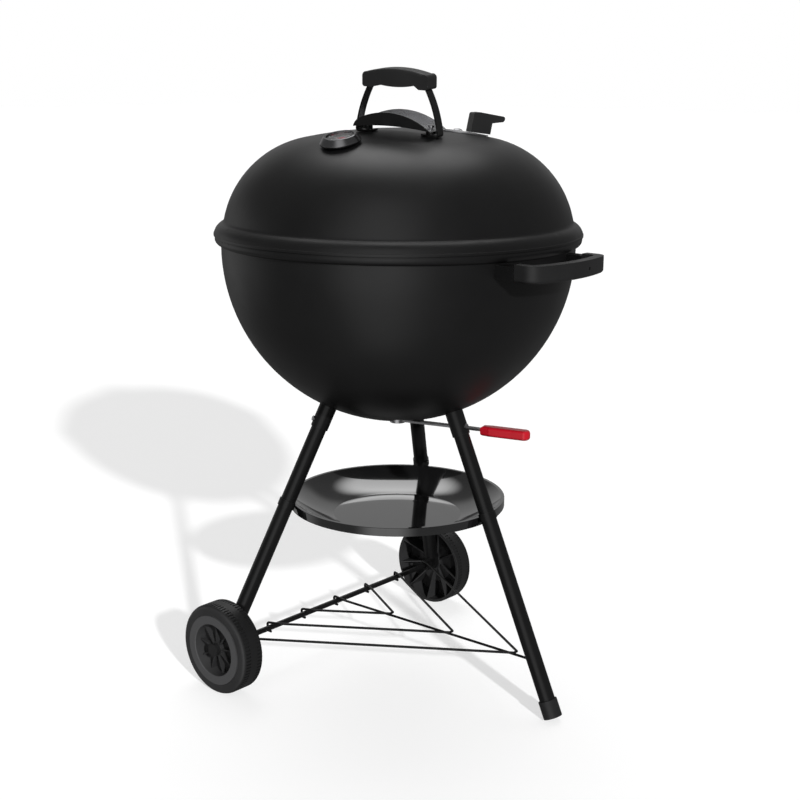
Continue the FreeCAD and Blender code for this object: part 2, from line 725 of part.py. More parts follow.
def make_gauge():
    """Dial thermometer: conical bezel, dial, needle, glass, probe and its nut under the lid."""
    floor = size(4.0)
    face = S.gauge_face
    top = S.gauge_depth
    pieces = {
        "thermometer_bezel": Outline(STEM_RADIUS + S.clearance, 1.2)
        .line(S.gauge_radius - 3, 1.2)
        .arc(S.gauge_radius - 1, 5, 4)
        .line(face + 3, top - 1.5)
        .arc(face, top, 2.6)
        .line(face - 2, top)
        .line(face - 2, floor)
        .line(STEM_RADIUS + S.clearance, floor)
        .close(),
        "thermometer_dial": Outline(1.6, floor + 0.1)
        .line(face - 2.4, floor + 0.1)
        .line(face - 2.4, floor + 1.3)
        .line(1.6, floor + 1.3)
        .close(),
        "thermometer_glass": Outline(0, top - 3.6)
        .line(face - 2.4, top - 3.6)
        .line(face - 2.4, top - 1.8)
        .line(0, top - 1.8)
        .close(),
        "thermometer_probe": Outline(0, -S.probe_length)
        .line(2.6, -S.probe_length)
        .line(2.6, -12)
        .line(STEM_RADIUS, -12)
        .line(STEM_RADIUS, floor - 0.1)
        .line(0, floor - 0.1)
        .close(),
        "thermometer_gasket": Outline(STEM_RADIUS + S.clearance, -S.sheet_wall - 2.6)
        .line(14, -S.sheet_wall - 2.6)
        .line(14, -S.sheet_wall - 1.4)
        .line(STEM_RADIUS + S.clearance, -S.sheet_wall - 1.4)
        .close(),
    }
    for label, outline in pieces.items():
        body = spun(label, outline)
        for axis in "xyz":
            body.setExpression(f"Placement.Base.{axis}", None)
        body.Placement = GAUGE_SEAT

    nut = doc.addObject("Part::Prism", "GaugeNutBody")
    nut.Polygon, nut.Circumradius, nut.Height = 6, 11.0, 4.0
    hole = doc.addObject("Part::Cylinder", "GaugeNutBore")
    bind(hole, "Radius", STEM_RADIUS + 0.03)
    hole.Height = 20
    for obj, lift in ((nut, -8.6), (hole, -15)):
        obj.Placement = GAUGE_SEAT.multiply(Placement(Vector(0, 0, lift), Rotation()))
    keep("thermometer_nut", cut("GaugeNut", nut, hole))

    needle = new_body("Needle")
    outline = (
        Outline(-7, -1.2).line(-7, 1.2).line(face - 7, 0.35).line(face - 7, -0.35).close()
    )
    blade = new_sketch(needle, "XY_Plane", "Blade", offset=floor + 2)
    pad(needle, draw(blade, outline), 0.6, name="Blade_pad")
    boss = circle(new_sketch(needle, "XY_Plane", "Boss", offset=floor + 0.4), 0, 0, 1.5, "boss")
    pad(needle, boss, 2.8, name="Boss_pad")
    needle.Placement = GAUGE_SEAT.multiply(Placement(Vector(), Rotation(Vector(0, 0, 1), 140)))
    keep("thermometer_needle", needle)


# ---------------------------------------------------------------- bowl and what it holds


def sphere_height(radius, across):
    """Height of a sphere about the bowl's centre, below that centre, at a distance from the axis."""
    return BOWL_CENTRE - root(radius * radius - across * across)


def make_bowl():
    wall = S.sheet_wall
    inner = BOWL_RADIUS - wall
    bead_out = S.rim_radius - S.sheet_wall - LIP_STEP - S.clearance
    bead_top = S.rim_height + S.bead_height
    hub = size(9.0)
    section = (
        Outline(hub, sphere_height(BOWL_RADIUS, hub))
        .arc(BOWL_RADIUS, BOWL_CENTRE, BOWL_RADIUS)
        .line(BOWL_RADIUS, S.rim_height - S.bead_drop)
        .arc(bead_out, S.rim_height - 1, S.bead_drop * 0.65)
        .line(bead_out, S.rim_height + 1)
        .arc(inner + 3, bead_top, S.bead_height * 1.4)
        .line(inner, bead_top)
        .line(inner, BOWL_CENTRE)
        .arc(hub, sphere_height(inner, hub), inner, left=False)
        .close()
    )
    shell = new_body("BowlSheet")
    revolve(shell, draw(new_sketch(shell, "XZ_Plane", "Section"), section))
    slot = new_sketch(shell, "XY_Plane", "Vent", offset=BOWL_BOTTOM - 5)
    half_width = S.blade_width / 2 - 4
    outline = (
        Outline(34, -half_width * 0.55)
        .line(98, -half_width)
        .arc(98, half_width, half_width * 1.3)
        .line(34, half_width * 0.55)
        .close(half_width)
    )
    vent = pocket(shell, draw(slot, outline), 60, name="Vent_cut", reverse=True)
    polar_copies(shell, vent, slot, 3, "Vents")
    place(shell, rotation=Rotation(Vector(0, 0, 1), S.sweeper_azimuth.value + 60))
    keep("bowl_shell", shell)


def rods(prefix, ring_radius, pitch, rod, height):
    """Parallel rods across a ring, each as long as its chord."""
    found = []
    steps = int((ring_radius.value - pitch.value * 0.4) / pitch.value)
    for step in range(-steps, steps + 1):
        offset = pitch * step
        half = root(ring_radius * ring_radius - offset * offset)
        found.append(
            part("Cylinder", f"{prefix}{step + steps}", x=-half, y=offset, z=height,
                 rotation=Rotation(Vector(0, 1, 0), 90), Radius=rod, Height=half * 2)
        )
    return found


COOKING_HEIGHT = S.rim_height - S.cooking_drop
CHARCOAL_HEIGHT = (
    BOWL_CENTRE
    - root((BOWL_RADIUS - S.sheet_wall - 1) * (BOWL_RADIUS - S.sheet_wall - 1)
           - (S.charcoal_radius + S.rod_radius) * (S.charcoal_radius + S.rod_radius))
    + S.rod_radius
)


def make_grates():
    """Two round wire grates: parallel rods inside a ring, on two cross rods."""
    for label, radius, pitch, height in (
        ("cooking_grate", COOKING_RADIUS, S.grate_pitch, COOKING_HEIGHT),
        ("charcoal_grate", S.charcoal_radius, S.charcoal_pitch, CHARCOAL_HEIGHT),
    ):
        ring = part("Torus", f"{label}_ring", z=height, Radius1=radius, Radius2=S.rod_radius)
        bars = rods(f"{label}_rod", radius, pitch, S.rod_radius * 0.75, height)
        cross = []
        for number, way in enumerate((-1, 1)):
            offset = radius * 0.5 * way
            half = root(radius * radius - offset * offset)
            cross.append(
                part("Cylinder", f"{label}_cross{number}", x=offset, y=-half,
                     z=height - S.rod_radius * 1.5, rotation=Rotation(Vector(1, 0, 0), -90),
                     Radius=S.rod_radius, Height=half * 2)
            )
        keep(label, fuse(f"{label}_wires", ring, *bars, *cross))


def make_grate_brackets():
    """Four steel brackets inside the bowl, that carry the cooking grate."""
    brackets = []
    top = COOKING_HEIGHT - S.rod_radius - S.clearance
    inner = BOWL_RADIUS - S.sheet_wall
    for number, azimuth in enumerate((45.0, 135.0, 225.0, 315.0)):
        bracket = new_body(f"Bracket{number}")
        outline = (
            Outline(inner - 24, top - 2.5)
            .line(inner - 2, top - 30)
            .line(inner - 0.5, top - 30)
            .line(inner - 0.5, top)
            .line(inner - 24, top)
            .close()
        )
        pad(bracket, draw(new_sketch(bracket, "XZ_Plane", "Side"), outline), 16, both_sides=True)
        place(bracket, rotation=Rotation(Vector(0, 0, 1), azimuth))
        ball = part("Sphere", f"BracketBall{number}", z=BOWL_CENTRE, Radius=inner - 0.1)
        upper = part("Cylinder", f"BracketTop{number}", z=BOWL_CENTRE, Radius=inner - 0.1, Height=60)
        common = doc.addObject("Part::MultiCommon", f"BracketTrim{number}")
        common.Shapes = [bracket, fuse(f"BracketSpace{number}", ball, upper)]
        brackets.append(common)
    keep("grate_brackets", group("Brackets", *brackets))


def make_sweeper():
    """Three blades that sweep the bowl's bottom, on a spindle that the lever under the bowl turns."""
    inner = BOWL_RADIUS - S.sheet_wall - S.clearance
    half = S.blade_width / 2
    blade_wall = size(1.6)
    spindle = size(6.0)
    lever_top = BOWL_BOTTOM - S.lever_drop + 3.5
    hub_low = sphere_height(inner, spindle) + 0.2

    sheet_ring = new_body("BladeSheet")
    outline = (
        Outline(spindle * 0.5, sphere_height(inner, spindle * 0.5))
        .arc(112, sphere_height(inner, size(112)), inner)
        .line(112, sphere_height(inner - blade_wall, size(112)))
        .arc(spindle * 0.5, sphere_height(inner - blade_wall, spindle * 0.5), inner - blade_wall, left=False)
        .close()
    )
    revolve(sheet_ring, draw(new_sketch(sheet_ring, "XZ_Plane", "Section"), outline))
    place(sheet_ring)
    blades = []
    for number in range(3):
        turn = S.sweeper_azimuth.value + 120.0 * number
        arm = new_body(f"BladeArea{number}")
        shape = (
            Outline(0, -half * 0.6)
            .line(106, -half)
            .line(112, half * 0.2)
            .line(104, half)
            .line(0, half * 0.6)
            .close()
        )
        pad(arm, draw(new_sketch(arm, "XY_Plane", "Plan"), shape), 200)
        place(arm, z=BOWL_BOTTOM - 10, rotation=Rotation(Vector(0, 0, 1), turn))
        blades.append(arm)
    common = doc.addObject("Part::MultiCommon", "BladeTrim")
    common.Shapes = [sheet_ring, fuse("BladePlan", *blades)]
    bore = part("Cylinder", "SpindleHole", z=BOWL_BOTTOM - 20, Radius=spindle + 0.05, Height=80)
    keep("ash_sweeper_blades", cut("Blades", common, bore))

    shaft = (
        Outline(0, BOWL_BOTTOM - S.lever_drop - 4)
        .line(spindle, BOWL_BOTTOM - S.lever_drop - 4)
        .line(spindle, hub_low + blade_wall + 0.4)
        .line(13, hub_low + blade_wall + 0.6)
        .line(11, hub_low + blade_wall + 4)
        .arc(0, hub_low + blade_wall + 12, cap_radius(11, 8))
        .close()
    )
    spun("sweeper_spindle", shaft)

    lever = new_body("Lever")
    tip = S.lever_reach - S.lever_grip + 2
    kink = tip - 22
    plan = (
        Outline(spindle + 0.1, -6.5)
        .line(kink, -6.5)
        .line(tip + 14, -5)
        .line(tip + 14, 5)
        .line(kink, 6.5)
        .line(spindle + 0.1, 6.5)
        .close()
    )
    pad(lever, draw(new_sketch(lever, "XY_Plane", "Plan", offset=lever_top - 4), plan), 2.6, name="Bar")
    collar = new_sketch(lever, "XY_Plane", "Collar", offset=lever_top - 7)
    circle(collar, 0, 0, spindle + 7, "outside")
    circle(collar, 0, 0, spindle + 0.05, "inside")
    pad(lever, collar, 8, name="Collar_pad")
    rib = new_sketch(lever, "XY_Plane", "Rib", offset=lever_top - 6)
    spine = (
        Outline(spindle + 3, -2).line(tip, -2).line(tip, 2).line(spindle + 3, 2).close()
    )
    pad(lever, draw(rib, spine), 3, name="Rib_pad")
    place(lever, rotation=Rotation(Vector(0, 0, 1), S.sweeper_azimuth.value))
    keep("sweeper_lever", lever)

    grip = new_body("LeverGrip")
    start = S.lever_reach - S.lever_grip
    end = S.lever_reach
    side = new_sketch(grip, "XY_Plane", "Plan", offset=lever_top - 12)
    shape = (
        Outline(start, -8)
        .line(start + 16, -11)
        .line(end - 11, -11)
        .arc(end - 11, 11, 11.5)
        .line(start + 16, 11)
        .line(start, 8)
        .close()
    )
    block = pad(grip, draw(side, shape), 16, name="Paddle")
    soften(grip, block, 5, lambda e: e.BoundBox.ZLength < 0.1)
    recess = new_sketch(grip, "XY_Plane", "Recess", offset=lever_top - 4.1)
    mouth = Outline(start - 1, -6.7).line(tip + 14.2, -5.2).line(tip + 14.2, 5.2).line(start - 1, 6.7).close()
    pocket(grip, draw(recess, mouth), 2.8, name="Mouth", reverse=True)
    rib_room = new_sketch(grip, "XY_Plane", "RibRoom", offset=lever_top - 6.2)
    room = Outline(start - 1, -2.2).line(tip + 0.2, -2.2).line(tip + 0.2, 2.2).line(start - 1, 2.2).close()
    pocket(grip, draw(rib_room, room), 3.4, name="Rib_room", reverse=True)
    place(grip, rotation=Rotation(Vector(0, 0, 1), S.sweeper_azimuth.value))
    keep("sweeper_lever_grip", grip)


def make_bowl_handle():
    """Moulded lifting handle over the front leg, on a steel bracket at the bowl."""
    half = S.bowl_handle_half
    out = S.rim_radius + S.bowl_handle_reach
    middle = S.rim_height - S.bowl_handle_drop
    low = middle - S.bowl_handle_height / 2
    corner = size(24.0)
    thick = size(15.0)
    root_end = S.rim_radius + S.bowl_handle_root
    body = new_body("BowlHandle")
    lean, rest = sine(S.bowl_handle_bow), cosine(S.bowl_handle_bow)
    inside = corner - thick
    spread = half - corner * (1 - lean)
    bow = spread / lean
    side = out - bow * (1 - rest) - corner * rest
    turn_out = half - corner + corner * lean
    turn_in = half - corner + inside * lean
    outline = (
        Outline(-half, -root_end)
        .line(-half, -side)
        .arc(-turn_out, -(side + corner * rest), corner)
        .arc(turn_out, -(side + corner * rest), bow)
        .arc(half, -side, corner)
        .line(half, -root_end)
        .line(half - thick, -root_end)
        .line(half - thick, -side)
        .arc(turn_in, -(side + inside * rest), inside, left=False)
        .arc(-turn_in, -(side + inside * rest), bow - thick, left=False)
        .arc(-half + thick, -side, inside, left=False)
        .line(-half + thick, -root_end)
        .close()
    )
    plan = new_sketch(body, "XY_Plane", "Plan", offset=low)
    block = pad(body, draw(plan, outline), S.bowl_handle_height)
    limits = (low.value, (low + S.bowl_handle_height).value)
    soften(
        body, block, 6,
        lambda e: e.BoundBox.ZLength < 0.1 and abs(e.CenterOfMass.z - limits[0]) < 0.1
        and e.CenterOfMass.y < -root_end.value - 1,
    )
    recess = new_sketch(body, "XZ_Plane", "Recess", offset=out - 6)
    circle(recess, 27, middle, 2.6, "recess")
    pocket(body, recess, 20, reverse=True)
    place(body)
    keep("bowl_handle", body)

    inner = root(BOWL_RADIUS * BOWL_RADIUS - half * half)
    brackets = []
    for number, way in enumerate((-1, 1)):
        spot = (half - thick / 2) * way
        width = thick + 4
        tab = part("Box", f"HandleTab{number}", x=spot - width / 2, y=-(root_end - 0.3),
                   z=middle - 10, Length=width, Width=root_end - 0.3 - inner + 16, Height=20)
        ball = part("Sphere", f"HandleBall{number}", z=BOWL_CENTRE, Radius=BOWL_RADIUS + 0.02)
        upper = part("Cylinder", f"HandleUpper{number}", z=BOWL_CENTRE, Radius=BOWL_RADIUS + 0.02, Height=80)
        brackets.append(cut(f"HandleBracket{number}", tab, fuse(f"HandleSpace{number}", ball, upper)))
    keep("bowl_handle_brackets", group("HandleBrackets", *brackets))


# ---------------------------------------------------------------- stand


def leg_rotation(azimuth):
    """Turns a piece's own z along the leg, outwards and down."""
    lean = math.radians(S.leg_tilt.value)
    down = polar(math.sin(lean), azimuth.value) - Vector(0, 0, math.cos(lean))
    return Rotation(Vector(0, 0, 1), down)


def leg_point(height, azimuth):
    """A point on a leg's centre line, as sizes."""
    radius = leg_radius_at(size(height))
    return dict(x=radius * cosine(azimuth), y=radius * sine(azimuth), z=size(height))


DISH_RADIUS = leg_radius_at(S.dish_height) - S.leg_radius / cosine(S.leg_tilt) - S.clearance


def make_leg(name, azimuth):
    turn = leg_rotation(azimuth)
    start = leg_point(MEET_HEIGHT - 2, azimuth)
    foot_end = (S.leg_radius + 2.6) * sine(S.leg_tilt)
    lowest = foot_end + (FOOT_SOLE + 0.2) * cosine(S.leg_tilt) if name == "front" else size(0)
    reach = (MEET_HEIGHT - 2 - lowest) / cosine(S.leg_tilt)
    tube = part("Cylinder", f"{name}_tube", rotation=turn, Radius=S.leg_radius, Height=reach, **start)
    hole = part("Cylinder", f"{name}_hole", rotation=turn, Radius=S.leg_radius - S.leg_wall,
                Height=reach, **start)
    ball = part("Sphere", f"{name}_ball", z=BOWL_CENTRE, Radius=BOWL_RADIUS + 1)
    if name == "front":
        keep(f"{name}_leg", cut(f"{name}_leg_tube", tube, fuse(f"{name}_waste", hole, ball)))
        return
    way = 1 if name == "right" else -1
    axle_x = TANG_REACH * way
    tang_top = S.wheel_radius + 22
    floor = part("Box", f"{name}_floor", x=-600, y=-600, z=-400, Length=1200, Width=1200,
                 Height=400 + tang_top - 6)
    body = cut(f"{name}_tube_cut", tube, fuse(f"{name}_waste", hole, ball, floor))
    half = S.tang_wall / 2
    tang = part("Box", f"{name}_tang", x=axle_x - half, y=AXLE_REACH - 13, z=S.wheel_radius,
                Length=half * 2, Width=26, Height=22)
    nose = part("Cylinder", f"{name}_nose", x=axle_x - half, y=AXLE_REACH, z=S.wheel_radius,
                rotation=Rotation(Vector(0, 1, 0), 90), Radius=13, Height=half * 2)
    eye = part("Cylinder", f"{name}_eye", x=axle_x - 40, y=AXLE_REACH, z=S.wheel_radius,
               rotation=Rotation(Vector(0, 1, 0), 90), Radius=S.axle_radius + S.running_gap, Height=80)
    keep(f"{name}_leg", cut(f"{name}_leg_tube", fuse(f"{name}_leg_solid", body, tang, nose), eye))


def make_sockets():
    screws = []
    for name, azimuth in LEG_AZIMUTHS.items():
        turn = leg_rotation(azimuth)
        start = leg_point(MEET_HEIGHT + 12, azimuth)
        length = S.socket_length + 12 / math.cos(math.radians(S.leg_tilt.value))
        outer = part("Cylinder", f"{name}_socket_out", rotation=turn,
                     Radius=S.leg_radius + S.socket_wall + 0.1, Height=length, **start)
        inner = part("Cylinder", f"{name}_socket_in", rotation=turn, Radius=S.leg_radius + 0.1,
                     Height=length + 20, **start)
        ball = part("Sphere", f"{name}_socket_ball", z=BOWL_CENTRE, Radius=BOWL_RADIUS + 0.02)
        keep(f"{name}_leg_socket", cut(f"{name}_socket", outer, fuse(f"{name}_socket_waste", inner, ball)))
        screws.append(leg_screw(name, azimuth))
    keep("leg_screws", group("LegScrews", *screws))


def leg_screw(name, azimuth):
    """A screw head on the outer side of each socket."""
    lean = math.radians(S.leg_tilt.value)
    out = polar(math.cos(lean), azimuth.value) + Vector(0, 0, math.sin(lean))
    point = leg_point(MEET_HEIGHT - 24, azimuth)
    lift = (S.leg_radius + S.socket_wall + 0.2).value
    head = part("Cylinder", f"{name}_screw", rotation=Rotation(Vector(0, 0, 1), out),
                x=point["x"] + out.x * lift, y=point["y"] + out.y * lift, z=point["z"] + out.z * lift,
                Radius=4.2, Height=2.6)
    return head


def make_foot():
    """Plastic cap over the end of the front leg, square to it, that rests on its inner edge."""
    azimuth = LEG_AZIMUTHS["front"]
    turn = leg_rotation(azimuth)
    radius = S.leg_radius + 2.6
    end_height = radius * sine(S.leg_tilt)
    length = S.foot_height / cosine(S.leg_tilt)
    start = leg_point(end_height + S.foot_height, azimuth)
    cap = part("Cylinder", "FootCap", rotation=turn, Radius=radius, Height=length, **start)
    bore = part("Cylinder", "FootBore", rotation=turn, Radius=S.leg_radius + 0.15,
                Height=length - FOOT_SOLE, **start)
    keep("front_foot", cut("FrontFoot", cap, bore))


def make_wheel(name, way):
    """Moulded wheel: tread, sidewall, dished centre with spokes, and a hub with a running bore."""
    tyre = S.wheel_radius
    width = S.wheel_width
    bore = S.axle_radius + S.running_gap
    hollow = tyre - 5.5
    hub = size(13.0)
    web = width - 16
    section = (
        Outline(bore, HUB_RECESS)
        .line(hub, HUB_RECESS)
        .line(hub, web - 3)
        .line(S.wheel_opening - 5, web - 3)
        .line(S.wheel_opening + 1.5, width - 7)
        .line(hollow, width - 7)
        .line(hollow, 0)
        .line(tyre - 2.5, 0)
        .arc(tyre, 2.5, 2.5)
        .line(tyre, width - 9)
        .arc(tyre - 7, width - 1.6, 7.7)
        .line(S.wheel_ring + 0.8, width - 1.6)
        .line(S.wheel_ring, width)
        .line(S.wheel_opening + 1, width)
        .line(S.wheel_opening, width - 1)
        .line(S.wheel_opening - 6, web)
        .line(hub, web)
        .line(hub - 1, width - 8)
        .line(bore, width - 8)
        .close()
    )
    wheel = new_body(f"{name}_wheel_body")
    revolve(wheel, draw(new_sketch(wheel, "XZ_Plane", "Section"), section))
    front_ribs = new_sketch(wheel, "XY_Plane", "FrontRibs", offset=web - 1)
    shape = (
        Outline(hub - 3, -1.1)
        .line(S.wheel_opening - 3, -1.1)
        .line(S.wheel_opening - 3, 1.1)
        .line(hub - 3, 1.1)
        .close()
    )
    rib = pad(wheel, draw(front_ribs, shape), 9, name="Front_rib")
    polar_copies(wheel, rib, front_ribs, 9, "FrontPattern")
    back_ribs = new_sketch(wheel, "XZ_Plane", "BackRibs")
    shape = (
        Outline(hub - 3, RIB_RECESS - LEG_LEAN * hub)
        .line(hollow + 0.5, RIB_RECESS - LEG_LEAN * hollow)
        .line(hollow + 0.5, width - 6.5)
        .line(S.wheel_opening, width - 6.5)
        .line(S.wheel_opening - 3, web - 1)
        .line(hub - 3, web - 1)
        .close()
    )
    back = pad(wheel, draw(back_ribs, shape), 2.2, name="Back_rib", both_sides=True)
    polar_copies(wheel, back, front_ribs, 9, "BackPattern")
    for side, edge in (("Inner", size(2.0)), ("Outer", width - 16)):
        band = new_sketch(wheel, "XY_Plane", f"{side}Band", offset=edge)
        shape = (
            Outline(tyre - S.tread_depth, -S.tread_gap / 2)
            .line(tyre + 1, -S.tread_gap / 2)
            .line(tyre + 1, S.tread_gap / 2)
            .line(tyre - S.tread_depth, S.tread_gap / 2)
            .close()
        )
        groove = pocket(wheel, draw(band, shape), 10, name=f"{side}_groove", reverse=True)
        polar_copies(wheel, groove, band, TREAD_BLOCKS, f"{side}Tread")
    place(wheel, x=WHEEL_INNER * way, y=AXLE_REACH, z=S.wheel_radius,
          rotation=Rotation(Vector(0, 1, 0), 90 * way))
    keep(f"{name}_wheel", wheel)


def make_axle():
    reach = TRACK_HALF - 1.0
    axis = Rotation(Vector(0, 1, 0), 90)
    keep("wheel_axle", part("Cylinder", "Axle", x=-reach, y=AXLE_REACH, z=S.wheel_radius, rotation=axis,
                            Radius=S.axle_radius, Height=reach * 2))
    washers = []
    for name, way in (("left", -1), ("right", 1)):
        turn = Rotation(Vector(0, 1, 0), 90 * way)
        cap_start = WHEEL_INNER + S.wheel_width - 8 + S.clearance
        disc = part("Cylinder", f"{name}_cap_disc", x=cap_start * way, y=AXLE_REACH, z=S.wheel_radius,
                    rotation=turn, Radius=10.5, Height=TRACK_HALF - cap_start + 0.5)
        room = part("Cylinder", f"{name}_cap_bore", x=cap_start * way, y=AXLE_REACH, z=S.wheel_radius,
                    rotation=turn, Radius=S.axle_radius + 0.02, Height=reach - cap_start + 0.02)
        keep(f"{name}_axle_cap", cut(f"{name}_cap", disc, room))
        washer_start = TANG_REACH + S.tang_wall / 2 + 0.3
        ring = part("Cylinder", f"{name}_washer_out", x=washer_start * way, y=AXLE_REACH,
                    z=S.wheel_radius, rotation=turn, Radius=10, Height=1.6)
        hole = part("Cylinder", f"{name}_washer_in", x=(washer_start - 5) * way, y=AXLE_REACH,
                    z=S.wheel_radius, rotation=turn, Radius=S.axle_radius + 0.1, Height=12)
        washers.append(cut(f"{name}_washer", ring, hole))
    keep("axle_washers", group("Washers", *washers))


def make_ash_catcher():
    """Shallow enamelled dish with a turned-down edge, between the legs."""
    wall = size(1.2)
    top = S.dish_height
    bottom = top - S.dish_depth
    rim = DISH_RADIUS
    ring = S.dish_flat
    step = S.dish_ring_step
    ledge = bottom + step * 0.5
    side = S.dish_side_radius
    section = (
        Outline(0, bottom - wall)
        .line(ring - step, bottom - wall)
        .line(ring + step, ledge - wall)
        .arc(rim - 6, top - wall, side)
        .line(rim - wall, top - wall - 0.5)
        .line(rim - wall, top - S.dish_flange)
        .line(rim, top - S.dish_flange)
        .line(rim, top - 1)
        .arc(rim - 1, top, 1)
        .line(rim - 6, top)
        .arc(ring + step, ledge, side, left=False)
        .line(ring - step, bottom)
        .line(0, bottom)
        .close()
    )
    spun("ash_catcher", section)

    clips = []
    height = top - S.dish_flange / 2
    for name, azimuth in LEG_AZIMUTHS.items():
        turn = leg_rotation(azimuth)
        start = leg_point(height + 16, azimuth)
        outer = part("Cylinder", f"{name}_clip_out", rotation=turn, Radius=S.leg_radius + 1.7,
                     Height=12, **start)
        inner = part("Cylinder", f"{name}_clip_in", rotation=turn, Radius=S.leg_radius + 0.1,
                     Height=12, **start)
        mouth = part("Cylinder", f"{name}_clip_dish", z=top - 60, Radius=DISH_RADIUS + 0.6, Height=200)
        clips.append(cut(f"{name}_clip", outer, fuse(f"{name}_clip_waste", inner, mouth)))
    keep("ash_catcher_clips", group("Clips", *clips))


# ---------------------------------------------------------------- bottom rack


def wire_along(label, points, bend):
    """A bent wire through points, its corners rounded to a bend radius, as one swept tube."""
    edges = []
    here = points[0]
    for before, corner, after in zip(points, points[1:], points[2:]):
        first = (before - corner).normalize()
        second = (after - corner).normalize()
        angle = first.getAngle(second)
        setback = bend / math.tan(angle / 2)
        start = corner + first * setback
        end = corner + second * setback
        inside = (first + second).normalize()
        middle = corner + inside * (bend / math.sin(angle / 2) - bend)
        edges.append(Part.LineSegment(here, start).toShape())
        edges.append(Part.Arc(start, middle, end).toShape())
        here = end
    edges.append(Part.LineSegment(here, points[-1]).toShape())
    spine = Part.Wire(edges)
    lead = (points[1] - points[0]).normalize()
    ring = Part.Wire([Part.Circle(points[0], lead, S.wire_radius.value).toShape()])
    tube = spine.makePipeShell([ring], True, False, 2)
    area = math.pi * S.wire_radius.value ** 2
    if abs(tube.Volume / (area * spine.Length) - 1) > 0.02:
        raise RuntimeError(f"{label} does not follow its path")
    piece = doc.addObject("Part::Feature", label.title().replace("_", ""))
    piece.Shape = tube
    piece.Placement = Placement(Vector(0, AXIS_SHIFT.value, 0), Rotation())
    return keep(label, piece)


def hook_points(x, axle_y, axle_z):
    """The end of a rack wire: over the axle and round behind it."""
    gap = S.axle_radius.value + S.wire_radius.value + 0.45
    return [
        Vector(x, axle_y - gap * 0.2, axle_z - gap),
        Vector(x, axle_y + gap, axle_z - gap),
        Vector(x, axle_y + gap, axle_z + gap),
    ]


def make_rack():
    """Centre rod from the axle to the front leg, and three nested V wires hooked over the axle."""
    axle = Vector(0, AXLE_REACH.value, S.wheel_radius.value)
    gap = S.axle_radius.value + S.wire_radius.value + 0.45
    front_radius = leg_radius_at(S.rack_front_height)
    front = Vector(0, -front_radius.value, S.rack_front_height.value)
    start = axle + Vector(0, 0, gap)
    run = front - start
    ahead = run.normalize()
    length = (front - start).Length
    stop = start + ahead * (length - S.leg_radius.value / math.cos(math.radians(S.leg_tilt.value)) - 0.4)
    drop = Vector(0, 0, S.wire_radius.value + 0.15)
    wire_along("rack_centre_rod", hook_points(0.0, axle.y, axle.z) + [
        start + ahead * 20 - drop, stop - drop], 3.2)
    pitch = S.hook_pitch.value
    apexes = [pitch * k * 1.633 - 2.2 for k in (1, 2, 3)]
    for name, number, apex in zip(("inner", "middle", "outer"), (1, 2, 3), apexes):
        spread = pitch * number
        nose = start + ahead * apex + drop
        half_flat = 4.0
        left = hook_points(-spread, axle.y, axle.z)
        right = [Vector(-p.x, p.y, p.z) for p in reversed(left)]
        over = Vector(spread, axle.y, axle.z + gap)
        toward = (nose - over).normalize()
        lead_right = over + toward * 16
        lead_left = Vector(-lead_right.x, lead_right.y, lead_right.z)
        corner_right = Vector(half_flat, nose.y, nose.z)
        corner_left = Vector(-half_flat, nose.y, nose.z)
        wire_along(f"{name}_rack_wire", left + [lead_left, corner_left, corner_right, lead_right] + right, 3.2)


def check_and_write():
    doc.recompute()
    broken = [o.Name for o in doc.Objects if "Invalid" in o.State or "Error" in o.State]
    if broken:
        raise RuntimeError(f"not built: {broken}")
    for label, obj in PIECES.items():
        if obj.Shape.isNull() or not obj.Shape.isValid():
            raise RuntimeError(f"{label} has no valid shape")
    os.makedirs("parts", exist_ok=True)
    for label, obj in PIECES.items():
        obj.Shape.exportStep(f"parts/{label}.step")
    print(len(PIECES), "pieces written")


make_lid()
make_damper()
make_lid_handle()
make_gauge()
make_bowl()
make_grates()
make_grate_brackets()
make_sweeper()
make_bowl_handle()
for leg_name, leg_azimuth in LEG_AZIMUTHS.items():
    make_leg(leg_name, leg_azimuth)
make_sockets()
make_foot()
make_wheel("left", -1)
make_wheel("right", 1)
make_axle()
make_ash_catcher()
make_rack()
check_and_write()
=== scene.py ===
"""Finishes and studio stage for a charcoal kettle grill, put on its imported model."""

import json
import math

import bpy
from mathutils import Matrix, Vector


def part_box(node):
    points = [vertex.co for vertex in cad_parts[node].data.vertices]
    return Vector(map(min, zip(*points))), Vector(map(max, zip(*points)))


bl_info = {
    "name": "Kettle Grill Finisher",
    "version": (1, 0, 0),
    "blender": (4, 5, 0),
    "location": "View3D > Sidebar > Kettle Grill",
    "description": "Enamel, moulded plastic, plated steel and a studio stage for a charcoal kettle grill",
    "category": "Object",
}

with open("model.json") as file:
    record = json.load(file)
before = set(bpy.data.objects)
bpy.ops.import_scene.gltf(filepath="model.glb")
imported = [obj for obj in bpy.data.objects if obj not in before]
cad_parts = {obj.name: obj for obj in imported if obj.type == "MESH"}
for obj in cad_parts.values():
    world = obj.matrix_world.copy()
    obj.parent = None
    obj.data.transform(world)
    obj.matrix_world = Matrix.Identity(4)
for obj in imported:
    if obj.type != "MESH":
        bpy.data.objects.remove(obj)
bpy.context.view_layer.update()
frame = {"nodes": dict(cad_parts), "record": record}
NODES = frame["nodes"]
KETTLE_AXIS = Vector((0, sum(corner.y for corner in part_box("bowl_shell")) / 2, 0))

# Sizes of printed and moulded detail, and of the painted highlight on the wheel's raised ring. Lengths are in
# metres; a share is of the wheel's or the dial's radius.
HIGHLIGHT_RING_DEPTH = 0.0012
HIGHLIGHT_RING_INSIDE = 0.575
HIGHLIGHT_RING_OUTSIDE = 0.78
TREAD_START = 0.955
SHIELD_HALF_WIDTH = 0.025
DIAL_TICKS = 36.0
TICK_WIDTH = 0.28
TICK_BAND = (0.74, 0.92)
RED_BAND = (0.30, 0.65)
RED_TURN = (0.02, 0.2)

